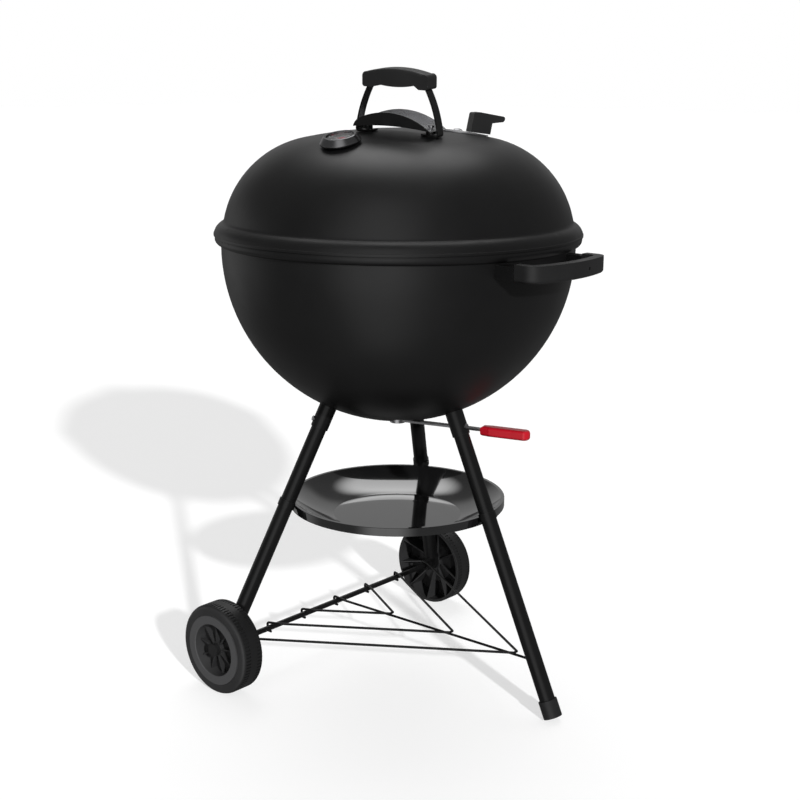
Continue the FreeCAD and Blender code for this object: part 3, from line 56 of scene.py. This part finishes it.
# Colours that no user would change.
DUST_GREY = (0.30, 0.29, 0.28)
# Black painted shade for the outside faces of the heat shield's flanges.
PAINTED_SHADE_BLACK = (0.004, 0.004, 0.004)
PRINT_RED = (0.55, 0.01, 0.05)


# ---------------------------------------------------------------- settings


def colour_property(name, description, default):
    return bpy.props.FloatVectorProperty(
        name=name, description=description, default=default, subtype="COLOR", size=3, min=0.0, max=1.0
    )


class GrillColours(bpy.types.PropertyGroup):
    """Colours of the grill's finishes."""

    enamel: colour_property("Enamel", "Porcelain enamel of the lid and bowl", (0.0035, 0.0035, 0.0036))
    gloss_enamel: colour_property("Gloss enamel", "Ash catcher and heat shield", (0.005, 0.005, 0.0052))
    leg_paint: colour_property("Leg paint", "Powder coat of the legs, straps and rack", (0.004, 0.004, 0.0041))
    nylon: colour_property("Nylon", "Handles, damper tab and foot", (0.009, 0.009, 0.0092))
    wheel: colour_property("Wheel", "Moulded wheels", (0.020, 0.020, 0.0205))
    grip: colour_property("Lever grip", "Moulded grip of the sweeper lever", (0.36, 0.006, 0.014))
    floor: colour_property("Floor", "Studio floor", (0.93, 0.93, 0.93))


class StageSettings(bpy.types.PropertyGroup):
    """Camera, light and floor."""

    distance: bpy.props.FloatProperty(
        name="Camera distance", description="Camera from the kettle's axis, along the floor",
        default=2.2393, unit="LENGTH",
    )
    sidestep: bpy.props.FloatProperty(
        name="Camera sidestep", description="Camera to the right of the kettle's axis",
        default=0.0037, unit="LENGTH",
    )
    height: bpy.props.FloatProperty(
        name="Camera height", description="Camera above the floor", default=1.0132, unit="LENGTH",
    )
    heading: bpy.props.FloatProperty(
        name="Camera heading", description="Turn of the camera about the upright",
        default=math.radians(-48.642), subtype="ANGLE",
    )
    pitch: bpy.props.FloatProperty(
        name="Camera pitch", description="How far the camera looks down",
        default=math.radians(13.544), subtype="ANGLE",
    )
    roll: bpy.props.FloatProperty(
        name="Camera roll", description="Turn of the camera about its own line of sight",
        default=math.radians(0.2757), subtype="ANGLE",
    )
    lens: bpy.props.FloatProperty(name="Lens", description="Focal length in millimetres", default=61.8)
    key_height: bpy.props.FloatProperty(
        name="Key light elevation", description="Key light above the horizon",
        default=math.radians(23.0), subtype="ANGLE",
    )
    key_heading: bpy.props.FloatProperty(
        name="Key light heading", description="Way the key light travels over the floor",
        default=math.radians(64.0), subtype="ANGLE",
    )
    key_strength: bpy.props.FloatProperty(
        name="Key light strength", description="Strength of the key light", default=4.0,
    )
    key_softness: bpy.props.FloatProperty(
        name="Key light softness", description="Angle that the key light fills",
        default=math.radians(2.2), subtype="ANGLE",
    )


# ---------------------------------------------------------------- node tools


def wire_up(tree, source, target):
    tree.links.new(source, target)


def add_node(tree, kind, **values):
    """A shader node, with its settings and its unlinked inputs set by name."""
    node = tree.nodes.new(kind)
    inputs = values.pop("inputs", {})
    for name, value in values.items():
        setattr(node, name, value)
    for name, value in inputs.items():
        if isinstance(value, bpy.types.NodeSocket):
            wire_up(tree, value, node.inputs[name])
        else:
            node.inputs[name].default_value = value
    return node


def maths(tree, operation, first, second=0.0, clamp=False):
    return add_node(
        tree, "ShaderNodeMath", operation=operation, use_clamp=clamp, inputs={0: first, 1: second}
    ).outputs[0]


def product(tree, first, *others):
    for other in others:
        first = maths(tree, "MULTIPLY", first, other)
    return first


def vector_maths(tree, operation, first, second=None):
    """A vector operation's result: a number for a length or a dot product, else a vector."""
    inputs = {0: first} if second is None else {0: first, 1: second}
    node = add_node(tree, "ShaderNodeVectorMath", operation=operation, inputs=inputs)
    return node.outputs["Value" if operation in ("LENGTH", "DOT_PRODUCT") else "Vector"]


def part_of(tree, vector, axis):
    return add_node(tree, "ShaderNodeSeparateXYZ", inputs={"Vector": vector}).outputs[axis]


def object_place(tree):
    return add_node(tree, "ShaderNodeTexCoord").outputs["Object"]


def remap(tree, value, low, high, to_low, to_high):
    return add_node(
        tree, "ShaderNodeMapRange", interpolation_type="SMOOTHSTEP",
        inputs={"Value": value, "From Min": low, "From Max": high, "To Min": to_low, "To Max": to_high},
    ).outputs["Result"]


def new_group(name, inputs, outputs):
    """An empty node group with named sockets; inputs are (name, kind, default)."""
    tree = bpy.data.node_groups.new(name, "ShaderNodeTree")
    for label, kind, default in inputs:
        socket = tree.interface.new_socket(name=label, in_out="INPUT", socket_type=kind)
        socket.default_value = default
    for label, kind in outputs:
        tree.interface.new_socket(name=label, in_out="OUTPUT", socket_type=kind)
    return tree, tree.nodes.new("NodeGroupInput"), tree.nodes.new("NodeGroupOutput")


def place_group(tree, group, **inputs):
    node = tree.nodes.new("ShaderNodeGroup")
    node.node_tree = group
    for name, value in inputs.items():
        socket = node.inputs[name.replace("_", " ")]
        if isinstance(value, bpy.types.NodeSocket):
            wire_up(tree, value, socket)
        else:
            socket.default_value = value
    return node


# ---------------------------------------------------------------- shared effects


def build_fine_grain():
    """Even grain of a moulded or coated surface: a height, and a slow cloudiness for roughness."""
    tree, given, result = new_group(
        "Fine grain",
        [("Grain size", "NodeSocketFloat", 0.001), ("Cloud size", "NodeSocketFloat", 0.06)],
        [("Height", "NodeSocketFloat"), ("Cloud", "NodeSocketFloat")],
    )
    place = object_place(tree)
    fine = maths(tree, "DIVIDE", 1.0, given.outputs["Grain size"])
    broad = maths(tree, "DIVIDE", 1.0, given.outputs["Cloud size"])
    grain = add_node(tree, "ShaderNodeTexNoise", inputs={"Vector": place, "Scale": fine, "Detail": 2.0})
    cloud = add_node(tree, "ShaderNodeTexNoise", inputs={"Vector": place, "Scale": broad, "Detail": 4.0})
    wire_up(tree, grain.outputs["Fac"], result.inputs["Height"])
    wire_up(tree, cloud.outputs["Fac"], result.inputs["Cloud"])
    return tree


def build_edge_wear():
    """Mask of edges that hands and tools have rubbed."""
    tree, given, result = new_group(
        "Edge wear",
        [("Width", "NodeSocketFloat", 0.001), ("Amount", "NodeSocketFloat", 0.4)],
        [("Mask", "NodeSocketFloat")],
    )
    place = object_place(tree)
    flat = add_node(tree, "ShaderNodeNewGeometry").outputs["Normal"]
    rounded = add_node(tree, "ShaderNodeBevel", samples=4, inputs={"Radius": given.outputs["Width"]})
    agree = vector_maths(tree, "DOT_PRODUCT", flat, rounded.outputs["Normal"])
    edge = remap(tree, agree, 0.99, 0.9, 0.0, 1.0)
    patches = add_node(tree, "ShaderNodeTexNoise", inputs={"Vector": place, "Scale": 70.0, "Detail": 3.0})
    rubbed = remap(tree, patches.outputs["Fac"], 0.4, 0.62, 0.15, 1.0)
    wire_up(tree, product(tree, edge, rubbed, given.outputs["Amount"]), result.inputs["Mask"])
    return tree


def build_settled_dust():
    """Mask of faint dust on faces that look up."""
    tree, given, result = new_group(
        "Settled dust",
        [("Amount", "NodeSocketFloat", 0.1)],
        [("Mask", "NodeSocketFloat")],
    )
    place = object_place(tree)
    normal = add_node(tree, "ShaderNodeNewGeometry").outputs["Normal"]
    up = remap(tree, part_of(tree, normal, "Z"), 0.2, 1.0, 0.0, 1.0)
    patches = add_node(tree, "ShaderNodeTexNoise", inputs={"Vector": place, "Scale": 9.0, "Detail": 6.0})
    patchy = remap(tree, patches.outputs["Fac"], 0.35, 0.7, 0.2, 1.0)
    wire_up(tree, product(tree, up, patchy, given.outputs["Amount"]), result.inputs["Mask"])
    return tree


EFFECTS = {}


def effect(name):
    """A shared node group, built the first time it is wanted."""
    makers = {"grain": build_fine_grain, "wear": build_edge_wear, "dust": build_settled_dust}
    if name not in EFFECTS:
        EFFECTS[name] = makers[name]()
    return EFFECTS[name]


def new_material(name):
    material = bpy.data.materials.new(name)
    material.use_nodes = True
    tree = material.node_tree
    tree.nodes.clear()
    shader = tree.nodes.new("ShaderNodeBsdfPrincipled")
    out = tree.nodes.new("ShaderNodeOutputMaterial")
    wire_up(tree, shader.outputs["BSDF"], out.inputs["Surface"])
    return material, tree, shader


def blend_colour(tree, mask, under, over):
    mix = add_node(tree, "ShaderNodeMix", data_type="RGBA")
    for socket, value in ((mix.inputs[0], mask), (mix.inputs[6], under), (mix.inputs[7], over)):
        if isinstance(value, bpy.types.NodeSocket):
            wire_up(tree, value, socket)
        else:
            socket.default_value = value if isinstance(value, float) else (*value, 1.0)[:4]
    return mix.outputs[2]


def finish(
    name, colour, rubbed, roughness, rough_spread=0.06, grain=0.0012, grain_depth=0.05,
    bump_distance=0.0003, cloud=0.06, wear=0.2, wear_width=0.0012, dust=0.02,
    metallic=0.0, coat=0.0, coat_roughness=0.1, specular=0.5,
):
    """A surface with grain, uneven gloss, rubbed edges and a trace of dust."""
    material, tree, shader = new_material(name)
    texture = place_group(tree, effect("grain"), Grain_size=grain, Cloud_size=cloud)
    worn = place_group(tree, effect("wear"), Width=wear_width, Amount=wear)
    dusty = place_group(tree, effect("dust"), Amount=dust)
    shade = remap(tree, texture.outputs["Cloud"], 0.3, 0.7, 0.0, 1.0)
    lighter = tuple(min(1.0, c * 1.25) for c in colour)
    base = blend_colour(tree, shade, colour, lighter)
    base = blend_colour(tree, worn.outputs["Mask"], base, rubbed)
    base = blend_colour(tree, dusty.outputs["Mask"], base, DUST_GREY)
    wire_up(tree, base, shader.inputs["Base Color"])
    gloss = remap(tree, texture.outputs["Cloud"], 0.3, 0.7, roughness - rough_spread, roughness + rough_spread)
    dulled = maths(tree, "ADD", gloss, dusty.outputs["Mask"], clamp=True)
    wire_up(tree, dulled, shader.inputs["Roughness"])
    bump = add_node(
        tree, "ShaderNodeBump",
        inputs={"Strength": grain_depth, "Distance": bump_distance, "Height": texture.outputs["Height"]},
    )
    wire_up(tree, bump.outputs["Normal"], shader.inputs["Normal"])
    shader.inputs["Metallic"].default_value = metallic
    shader.inputs["Specular IOR Level"].default_value = specular
    shader.inputs["Coat Weight"].default_value = coat
    shader.inputs["Coat Roughness"].default_value = coat_roughness
    return material


# ---------------------------------------------------------------- materials


def colours():
    return bpy.context.scene.grill_colours


def satin_enamel():
    return finish(
        "Satin porcelain enamel", colours().enamel, (0.03, 0.03, 0.03), 0.40, rough_spread=0.03,
        grain=0.0016, grain_depth=0.10, bump_distance=0.00012, cloud=0.09, wear=0.15, dust=0.004,
    )


def gloss_enamel():
    return finish(
        "Gloss porcelain enamel", colours().gloss_enamel, (0.03, 0.03, 0.03), 0.07, rough_spread=0.02,
        grain=0.004, grain_depth=0.05, bump_distance=0.0001, cloud=0.05, wear=0.2, dust=0.004,
        coat=1.0, coat_roughness=0.03, specular=1.0,
    )


def leg_paint():
    return finish(
        "Black powder coat", colours().leg_paint, (0.04, 0.04, 0.04), 0.30, rough_spread=0.05,
        grain=0.0011, grain_depth=0.2, bump_distance=0.00015, wear=0.35, dust=0.004, specular=0.34,
    )


def moulded_nylon():
    return finish(
        "Moulded black nylon", colours().nylon, (0.05, 0.05, 0.05), 0.46, rough_spread=0.05,
        grain=0.0007, grain_depth=0.4, bump_distance=0.0002, wear=0.3, dust=0.01,
    )


def overpaint(material, *coats):
    """Lay (mask, colour) coats over the base colour of a finished material."""
    tree = material.node_tree
    shader = shader_of(material)
    base = shader.inputs["Base Color"].links[0].from_socket
    for mask, colour in coats:
        base = blend_colour(tree, mask, base, colour)
    wire_up(tree, base, shader.inputs["Base Color"])


def shader_of(material):
    return next(node for node in material.node_tree.nodes if node.type == "BSDF_PRINCIPLED")


def band(tree, value, low, high, soft):
    """One between two limits, fading to nothing over a soft edge inside each."""
    return product(
        tree, remap(tree, value, low, low + soft, 0.0, 1.0), remap(tree, value, high - soft, high, 1.0, 0.0)
    )


def wheel_plastic():
    """Moulded plastic, with a painted highlight on the raised ring of the wheel's face, and darker on the
    tread.
    """
    tone = colours().wheel
    material = finish(
        "Moulded wheel plastic", tone, (0.06, 0.06, 0.06), 0.46, rough_spread=0.06,
        grain=0.0009, grain_depth=0.3, bump_distance=0.0002, wear=0.3, dust=0.012,
    )
    tree = material.node_tree
    low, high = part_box("left_wheel")
    hub = (low + high) / 2
    tyre = (high.z - low.z) / 2
    outer_face = max(abs(low.x), abs(high.x))
    place = object_place(tree)
    off_hub = vector_maths(tree, "SUBTRACT", place, (0.0, hub.y, hub.z))
    radius = vector_maths(tree, "LENGTH", vector_maths(tree, "MULTIPLY", off_hub, (0.0, 1.0, 1.0)))
    sideways = maths(tree, "ABSOLUTE", part_of(tree, place, "X"))
    outside = maths(tree, "GREATER_THAN", sideways, outer_face - HIGHLIGHT_RING_DEPTH)
    # Painted highlight: the raised ring on the wheel's outer face is made paler than the rest of the wheel.
    ring = band(tree, radius, tyre * HIGHLIGHT_RING_INSIDE, tyre * HIGHLIGHT_RING_OUTSIDE, tyre * 0.015)
    tread = remap(tree, radius, tyre * TREAD_START, tyre * (TREAD_START + 0.025), 0.0, 1.0)
    highlight_tone = tuple(channel * 3.2 for channel in tone)
    dark = tuple(channel * 0.4 for channel in tone)
    overpaint(material, (product(tree, ring, outside), highlight_tone), (tread, dark))
    return material


def grip_plastic():
    return finish(
        "Red grip plastic", colours().grip, (0.5, 0.04, 0.05), 0.3, rough_spread=0.04,
        grain=0.001, grain_depth=0.15, bump_distance=0.0001, wear=0.3, dust=0.0, coat=0.3,
    )


def bare_aluminium():
    return finish(
        "Stamped aluminium", (0.42, 0.42, 0.43), (0.6, 0.6, 0.6), 0.36, rough_spread=0.1,
        grain=0.0008, grain_depth=0.15, bump_distance=0.0001, wear=0.5, dust=0.03, metallic=1.0,
    )


def plated_steel():
    return finish(
        "Plated steel", (0.45, 0.45, 0.46), (0.65, 0.65, 0.65), 0.28, rough_spread=0.08,
        grain=0.0008, grain_depth=0.1, bump_distance=0.0001, wear=0.4, dust=0.01, metallic=1.0,
    )


def shield_metal():
    """Bright pressed metal inside the channel, with black painted shade on the outside faces of its two
    flanges.
    """
    material = finish(
        "Polished heat shield", (0.72, 0.72, 0.73), (0.8, 0.8, 0.8), 0.22, rough_spread=0.05,
        grain=0.003, grain_depth=0.1, bump_distance=0.0001, wear=0.2, dust=0.01,
    )
    tree = material.node_tree
    left, right = (sum(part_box(f"{side}_lid_handle_strap"), Vector()) / 2 for side in ("left", "right"))
    across = Vector((0, 0, 1)).cross(right - left).normalized()
    off_middle = vector_maths(tree, "SUBTRACT", object_place(tree), (left + right) / 2)
    side = vector_maths(tree, "DOT_PRODUCT", off_middle, across)
    facing = vector_maths(
        tree, "DOT_PRODUCT", add_node(tree, "ShaderNodeNewGeometry").outputs["Normal"], across
    )
    # Painted shade: the outside faces of both flanges are painted black and made non-metallic.
    outside = maths(tree, "GREATER_THAN", product(tree, side, facing), SHIELD_HALF_WIDTH / 2)
    overpaint(material, (outside, PAINTED_SHADE_BLACK))
    wire_up(tree, maths(tree, "SUBTRACT", 1.0, outside), shader_of(material).inputs["Metallic"])
    return material


def gauge_metal():
    return finish(
        "Dark polished bezel", (0.20, 0.20, 0.205), (0.5, 0.5, 0.5), 0.22, rough_spread=0.04,
        grain=0.0006, grain_depth=0.05, bump_distance=0.0001, wear=0.8, wear_width=0.0008, dust=0.0,
        metallic=1.0,
    )


def dial_print():
    """Dial face with a ring of plain tick marks and a red band over its hot end."""
    material, tree, shader = new_material("Printed dial")
    low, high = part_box("thermometer_dial")
    place = object_place(tree)
    offset = vector_maths(tree, "SUBTRACT", place, (low + high) / 2)
    radius = maths(tree, "DIVIDE", vector_maths(tree, "LENGTH", offset), (high.y - low.y) / 2)
    angle = maths(tree, "ARCTAN2", part_of(tree, offset, "Y"), part_of(tree, offset, "X"))
    turn = maths(tree, "DIVIDE", angle, math.tau)
    step = maths(tree, "FRACT", product(tree, maths(tree, "ADD", turn, 1.0), DIAL_TICKS))
    tick = maths(tree, "LESS_THAN", step, TICK_WIDTH)
    marks = product(tree, tick, band(tree, radius, *TICK_BAND, 0.02))
    hot = product(
        tree, maths(tree, "GREATER_THAN", turn, RED_TURN[0]), maths(tree, "LESS_THAN", turn, RED_TURN[1])
    )
    red = product(tree, hot, band(tree, radius, *RED_BAND, 0.03))
    paper = add_node(tree, "ShaderNodeTexNoise", inputs={"Vector": place, "Scale": 900.0, "Detail": 2.0})
    base = blend_colour(tree, paper.outputs["Fac"], (0.17, 0.17, 0.17), (0.22, 0.22, 0.22))
    base = blend_colour(tree, marks, base, (0.6, 0.6, 0.6))
    wire_up(tree, blend_colour(tree, red, base, PRINT_RED), shader.inputs["Base Color"])
    shader.inputs["Roughness"].default_value = 0.42
    return material


def needle_paint():
    return finish(
        "Needle paint", (0.5, 0.01, 0.02), (0.6, 0.05, 0.05), 0.4,
        grain=0.0005, grain_depth=0.05, wear=0.1, dust=0.0,
    )


def clear_glass():
    material, _, shader = new_material("Clear glass")
    shader.inputs["Base Color"].default_value = (0.95, 0.96, 0.96, 1.0)
    shader.inputs["Roughness"].default_value = 0.02
    shader.inputs["IOR"].default_value = 1.45
    shader.inputs["Transmission Weight"].default_value = 1.0
    return material


def silicone():
    return finish(
        "Silicone seal", (0.02, 0.02, 0.02), (0.03, 0.03, 0.03), 0.6,
        grain=0.0006, grain_depth=0.2, wear=0.0, dust=0.0,
    )


FINISHES = {
    "black_enamel": satin_enamel,
    "gloss_enamel": gloss_enamel,
    "painted_steel": leg_paint,
    "black_nylon": moulded_nylon,
    "wheel_plastic": wheel_plastic,
    "red_nylon": grip_plastic,
    "bare_aluminium": bare_aluminium,
    "plated_steel": plated_steel,
    "gauge_bezel": gauge_metal,
    "dial_white": dial_print,
    "needle_red": needle_paint,
    "clear_glass": clear_glass,
    "silicone_seal": silicone,
}


# Nodes whose finish is not their slot's usual one.
OWN_FINISHES = {
    "lid_handle_heat_shield": shield_metal,
    "left_axle_cap": moulded_nylon,
    "right_axle_cap": moulded_nylon,
}


SLOTS = {part["node"]: part["material_slot"] for part in frame["record"]["subparts"]}
MADE = {}


def dress(*names):
    """Give each named piece its finish, made the first time a piece wants it."""
    for name in names:
        maker = OWN_FINISHES.get(name, FINISHES[SLOTS[name]])
        if maker not in MADE:
            MADE[maker] = maker()
        NODES[name].data.materials.clear()
        NODES[name].data.materials.append(MADE[maker])
    return {"FINISHED"}


class GRILL_OT_kettle(bpy.types.Operator):
    """Enamel the bowl and the lid, and plate the brackets that hold the grate"""

    bl_idname = "kettle_grill.kettle"
    bl_label = "Finish the kettle"

    def execute(self, context):
        return dress("bowl_shell", "lid_shell", "grate_brackets")


class GRILL_OT_legs(bpy.types.Operator):
    """Coat the legs and their sockets, and finish the screws and the foot"""

    bl_idname = "kettle_grill.legs"
    bl_label = "Finish the legs"

    def execute(self, context):
        for side in ("front", "left", "right"):
            dress(f"{side}_leg", f"{side}_leg_socket")
        return dress("leg_screws", "front_foot")


class GRILL_OT_rack(bpy.types.Operator):
    """Coat the wires of the bottom rack"""

    bl_idname = "kettle_grill.rack"
    bl_label = "Finish the rack"

    def execute(self, context):
        return dress("rack_centre_rod", "inner_rack_wire", "middle_rack_wire", "outer_rack_wire")


class GRILL_OT_wheels(bpy.types.Operator):
    """Finish the wheels, their axle, caps and washers"""

    bl_idname = "kettle_grill.wheels"
    bl_label = "Finish the wheels"

    def execute(self, context):
        for side in ("left", "right"):
            dress(f"{side}_wheel", f"{side}_axle_cap")
        return dress("wheel_axle", "axle_washers")


class GRILL_OT_bowl_handle(bpy.types.Operator):
    """Finish the bowl's lifting handle and its brackets"""

    bl_idname = "kettle_grill.bowl_handle"
    bl_label = "Finish the bowl handle"

    def execute(self, context):
        return dress("bowl_handle", "bowl_handle_brackets")


class GRILL_OT_lid_handle(bpy.types.Operator):
    """Finish the lid's handle, its straps, its heat shield and its fasteners"""

    bl_idname = "kettle_grill.lid_handle"
    bl_label = "Finish the lid handle"

    def execute(self, context):
        dress("lid_handle_grip", "left_lid_handle_strap", "right_lid_handle_strap")
        return dress("lid_handle_heat_shield", "lid_handle_spacers", "lid_handle_bolts", "lid_handle_nuts")


class GRILL_OT_damper(bpy.types.Operator):
    """Finish the lid's damper, its tab and its rivet"""

    bl_idname = "kettle_grill.damper"
    bl_label = "Finish the damper"

    def execute(self, context):
        return dress("lid_damper_disc", "lid_damper_tab", "lid_damper_rivet")


class GRILL_OT_thermometer(bpy.types.Operator):
    """Finish the thermometer, from its glass to the nut inside the lid"""

    bl_idname = "kettle_grill.thermometer"
    bl_label = "Finish the thermometer"

    def execute(self, context):
        pieces = ("bezel", "dial", "glass", "needle", "probe", "gasket", "nut")
        return dress(*(f"thermometer_{piece}" for piece in pieces))


class GRILL_OT_grates(bpy.types.Operator):
    """Plate the cooking grate and the charcoal grate"""

    bl_idname = "kettle_grill.grates"
    bl_label = "Finish the grates"

    def execute(self, context):
        return dress("cooking_grate", "charcoal_grate")


class GRILL_OT_ash_works(bpy.types.Operator):
    """Finish the ash sweeper, its lever and the ash catcher"""

    bl_idname = "kettle_grill.ash_works"
    bl_label = "Finish the ash sweeper and catcher"

    def execute(self, context):
        dress("ash_sweeper_blades", "sweeper_spindle", "sweeper_lever", "sweeper_lever_grip")
        return dress("ash_catcher", "ash_catcher_clips")


# ---------------------------------------------------------------- stage


def build_floor(glow):
    """Pale studio floor that catches one soft shadow."""
    mesh = bpy.data.meshes.new("Studio floor")
    reach = 30.0
    corners = [(-reach, -reach, 0), (reach, -reach, 0), (reach, reach, 0), (-reach, reach, 0)]
    mesh.from_pydata(corners, [], [(0, 1, 2, 3)])
    floor = bpy.data.objects.new("Studio floor", mesh)
    bpy.context.scene.collection.objects.link(floor)
    material, _, shader = new_material("Pale floor")
    shader.inputs["Base Color"].default_value = (0.5, 0.5, 0.5, 1.0)
    shader.inputs["Roughness"].default_value = 0.9
    shader.inputs["Specular IOR Level"].default_value = 0.0
    shader.inputs["Emission Color"].default_value = (*glow, 1.0)
    shader.inputs["Emission Strength"].default_value = 0.59
    mesh.materials.append(material)
    floor.visible_glossy = False
    floor.visible_diffuse = False


def build_key_light(settings):
    """Far lamp whose rays cast the floor shadow."""
    light = bpy.data.lights.new("Key light", "SUN")
    light.energy = settings.key_strength
    light.angle = settings.key_softness
    lamp = bpy.data.objects.new("Key light", light)
    travel = Vector((
        math.cos(settings.key_heading) * math.cos(settings.key_height),
        math.sin(settings.key_heading) * math.cos(settings.key_height),
        -math.sin(settings.key_height),
    ))
    lamp.rotation_euler = travel.to_track_quat("-Z", "Y").to_euler()
    lamp.visible_glossy = False
    bpy.context.scene.collection.objects.link(lamp)


def direction(heading, lift):
    """Unit vector from a heading over the floor and an elevation, both in degrees."""
    heading, lift = math.radians(heading), math.radians(lift)
    return Vector((math.cos(heading) * math.cos(lift), math.sin(heading) * math.cos(lift), math.sin(lift)))


def round_box(tree, view, heading, lift, inner, outer, power):
    """Round soft box: full inside one angle from its middle, gone at the other."""
    facing = vector_maths(tree, "DOT_PRODUCT", view, direction(heading, lift))
    return remap(tree, facing, math.cos(math.radians(outer)), math.cos(math.radians(inner)), 0.0, power)


def tall_box(tree, view, heading, inner, outer, low, high, fade, power):
    """Upright strip of light, between two elevations."""
    ahead = vector_maths(tree, "DOT_PRODUCT", view, direction(heading, 0))
    beside = vector_maths(tree, "DOT_PRODUCT", view, direction(heading + 90, 0))
    lift = maths(tree, "ARCSINE", part_of(tree, view, "Z"))
    off = maths(tree, "ABSOLUTE", maths(tree, "ARCTAN2", beside, ahead))
    across = remap(tree, off, math.radians(inner), math.radians(outer), 1.0, 0.0)
    above = remap(tree, lift, math.radians(low - fade), math.radians(low), 0.0, 1.0)
    below = remap(tree, lift, math.radians(high), math.radians(high + fade), power, 0.0)
    return product(tree, across, above, below)


# Angles in degrees, as seen from the grill.
ROUND_BOXES = (
    {"heading": 41.4, "lift": 64.0, "inner": 14.0, "outer": 27.0, "power": 2.5},
)
TALL_BOXES = (
    {"heading": -150.6, "inner": 10.0, "outer": 38.0, "low": -5.0, "high": 48.0, "fade": 22.0, "power": 0.70},
    {"heading": -150.6, "inner": 10.0, "outer": 36.0, "low": -55.0, "high": -10.0, "fade": 12.0, "power": 0.52},
    {"heading": 41.4, "inner": 22.0, "outer": 44.0, "low": 6.0, "high": 24.0, "fade": 10.0, "power": 0.22},
    {"heading": 102.0, "inner": 12.0, "outer": 34.0, "low": -14.0, "high": 6.0, "fade": 12.0, "power": 0.30},
)
ROOM_GLOW = 0.13


def build_studio():
    """Dim surroundings with soft boxes, seen by the surfaces; the background itself is plain white."""
    world = bpy.data.worlds.new("Studio")
    bpy.context.scene.world = world
    world.use_nodes = True
    tree = world.node_tree
    tree.nodes.clear()
    ray = add_node(tree, "ShaderNodeLightPath")
    view = add_node(tree, "ShaderNodeTexCoord").outputs["Generated"]
    glow = ROOM_GLOW
    for box in ROUND_BOXES:
        glow = maths(tree, "ADD", round_box(tree, view, **box), glow)
    for box in TALL_BOXES:
        glow = maths(tree, "ADD", tall_box(tree, view, **box), glow)
    seen = add_node(
        tree, "ShaderNodeMix", data_type="FLOAT", inputs={0: ray.outputs["Is Camera Ray"], 2: glow, 3: 1.0}
    )
    light = add_node(tree, "ShaderNodeBackground", inputs={"Strength": seen.outputs[0]})
    light.inputs["Color"].default_value = (1.0, 1.0, 1.0, 1.0)
    out = add_node(tree, "ShaderNodeOutputWorld")
    wire_up(tree, light.outputs["Background"], out.inputs["Surface"])


def build_camera(settings):
    """Camera beside the kettle, turned by its heading, pitch and roll."""
    data = bpy.data.cameras.new("Camera")
    data.lens = settings.lens
    data.sensor_width = 36.0
    data.clip_start = 0.05
    data.clip_end = 200.0
    camera = bpy.data.objects.new("Camera", data)
    ahead = Vector((-math.sin(settings.heading), math.cos(settings.heading), 0))
    right = Vector((math.cos(settings.heading), math.sin(settings.heading), 0))
    spot = KETTLE_AXIS - ahead * settings.distance + right * settings.sidestep + Vector((0, 0, settings.height))
    turn = (
        Matrix.Rotation(settings.heading, 4, "Z")
        @ Matrix.Rotation(math.radians(90) - settings.pitch, 4, "X")
        @ Matrix.Rotation(settings.roll, 4, "Z")
    )
    camera.matrix_world = Matrix.Translation(spot) @ turn
    bpy.context.scene.collection.objects.link(camera)
    bpy.context.scene.camera = camera


class GRILL_OT_stage(bpy.types.Operator):
    """Set up the floor, the lights and the camera"""

    bl_idname = "kettle_grill.stage"
    bl_label = "Set up the studio"

    def execute(self, context):
        settings = context.scene.grill_stage
        build_floor(context.scene.grill_colours.floor)
        build_key_light(settings)
        build_studio()
        build_camera(settings)
        context.scene.view_settings.view_transform = "Standard"
        return {"FINISHED"}


# ---------------------------------------------------------------- panel


class GRILL_PT_panel(bpy.types.Panel):
    """Sidebar panel that lists the steps"""

    bl_label = "Kettle Grill"
    bl_idname = "GRILL_PT_panel"
    bl_space_type = "VIEW_3D"
    bl_region_type = "UI"
    bl_category = "Kettle Grill"

    def draw(self, context):
        column = self.layout.column()
        for group in (context.scene.grill_colours, context.scene.grill_stage):
            for name in group.__annotations__:
                column.prop(group, name)
        for step in STEPS:
            column.operator(step.bl_idname)


STEPS = (
    GRILL_OT_kettle, GRILL_OT_legs, GRILL_OT_rack, GRILL_OT_wheels, GRILL_OT_bowl_handle, GRILL_OT_lid_handle,
    GRILL_OT_damper, GRILL_OT_thermometer, GRILL_OT_grates, GRILL_OT_ash_works, GRILL_OT_stage,
)
CLASSES = (GrillColours, StageSettings, *STEPS, GRILL_PT_panel)


def register():
    for cls in CLASSES:
        bpy.utils.register_class(cls)
    bpy.types.Scene.grill_colours = bpy.props.PointerProperty(type=GrillColours)
    bpy.types.Scene.grill_stage = bpy.props.PointerProperty(type=StageSettings)


def unregister():
    del bpy.types.Scene.grill_stage
    del bpy.types.Scene.grill_colours
    for cls in reversed(CLASSES):
        bpy.utils.unregister_class(cls)


def main():
    register()
    bpy.ops.kettle_grill.kettle()
    bpy.ops.kettle_grill.legs()
    bpy.ops.kettle_grill.rack()
    bpy.ops.kettle_grill.wheels()
    bpy.ops.kettle_grill.bowl_handle()
    bpy.ops.kettle_grill.lid_handle()
    bpy.ops.kettle_grill.damper()
    bpy.ops.kettle_grill.thermometer()
    bpy.ops.kettle_grill.grates()
    bpy.ops.kettle_grill.ash_works()
    bpy.ops.kettle_grill.stage()


if __name__ == "__main__":
    main()
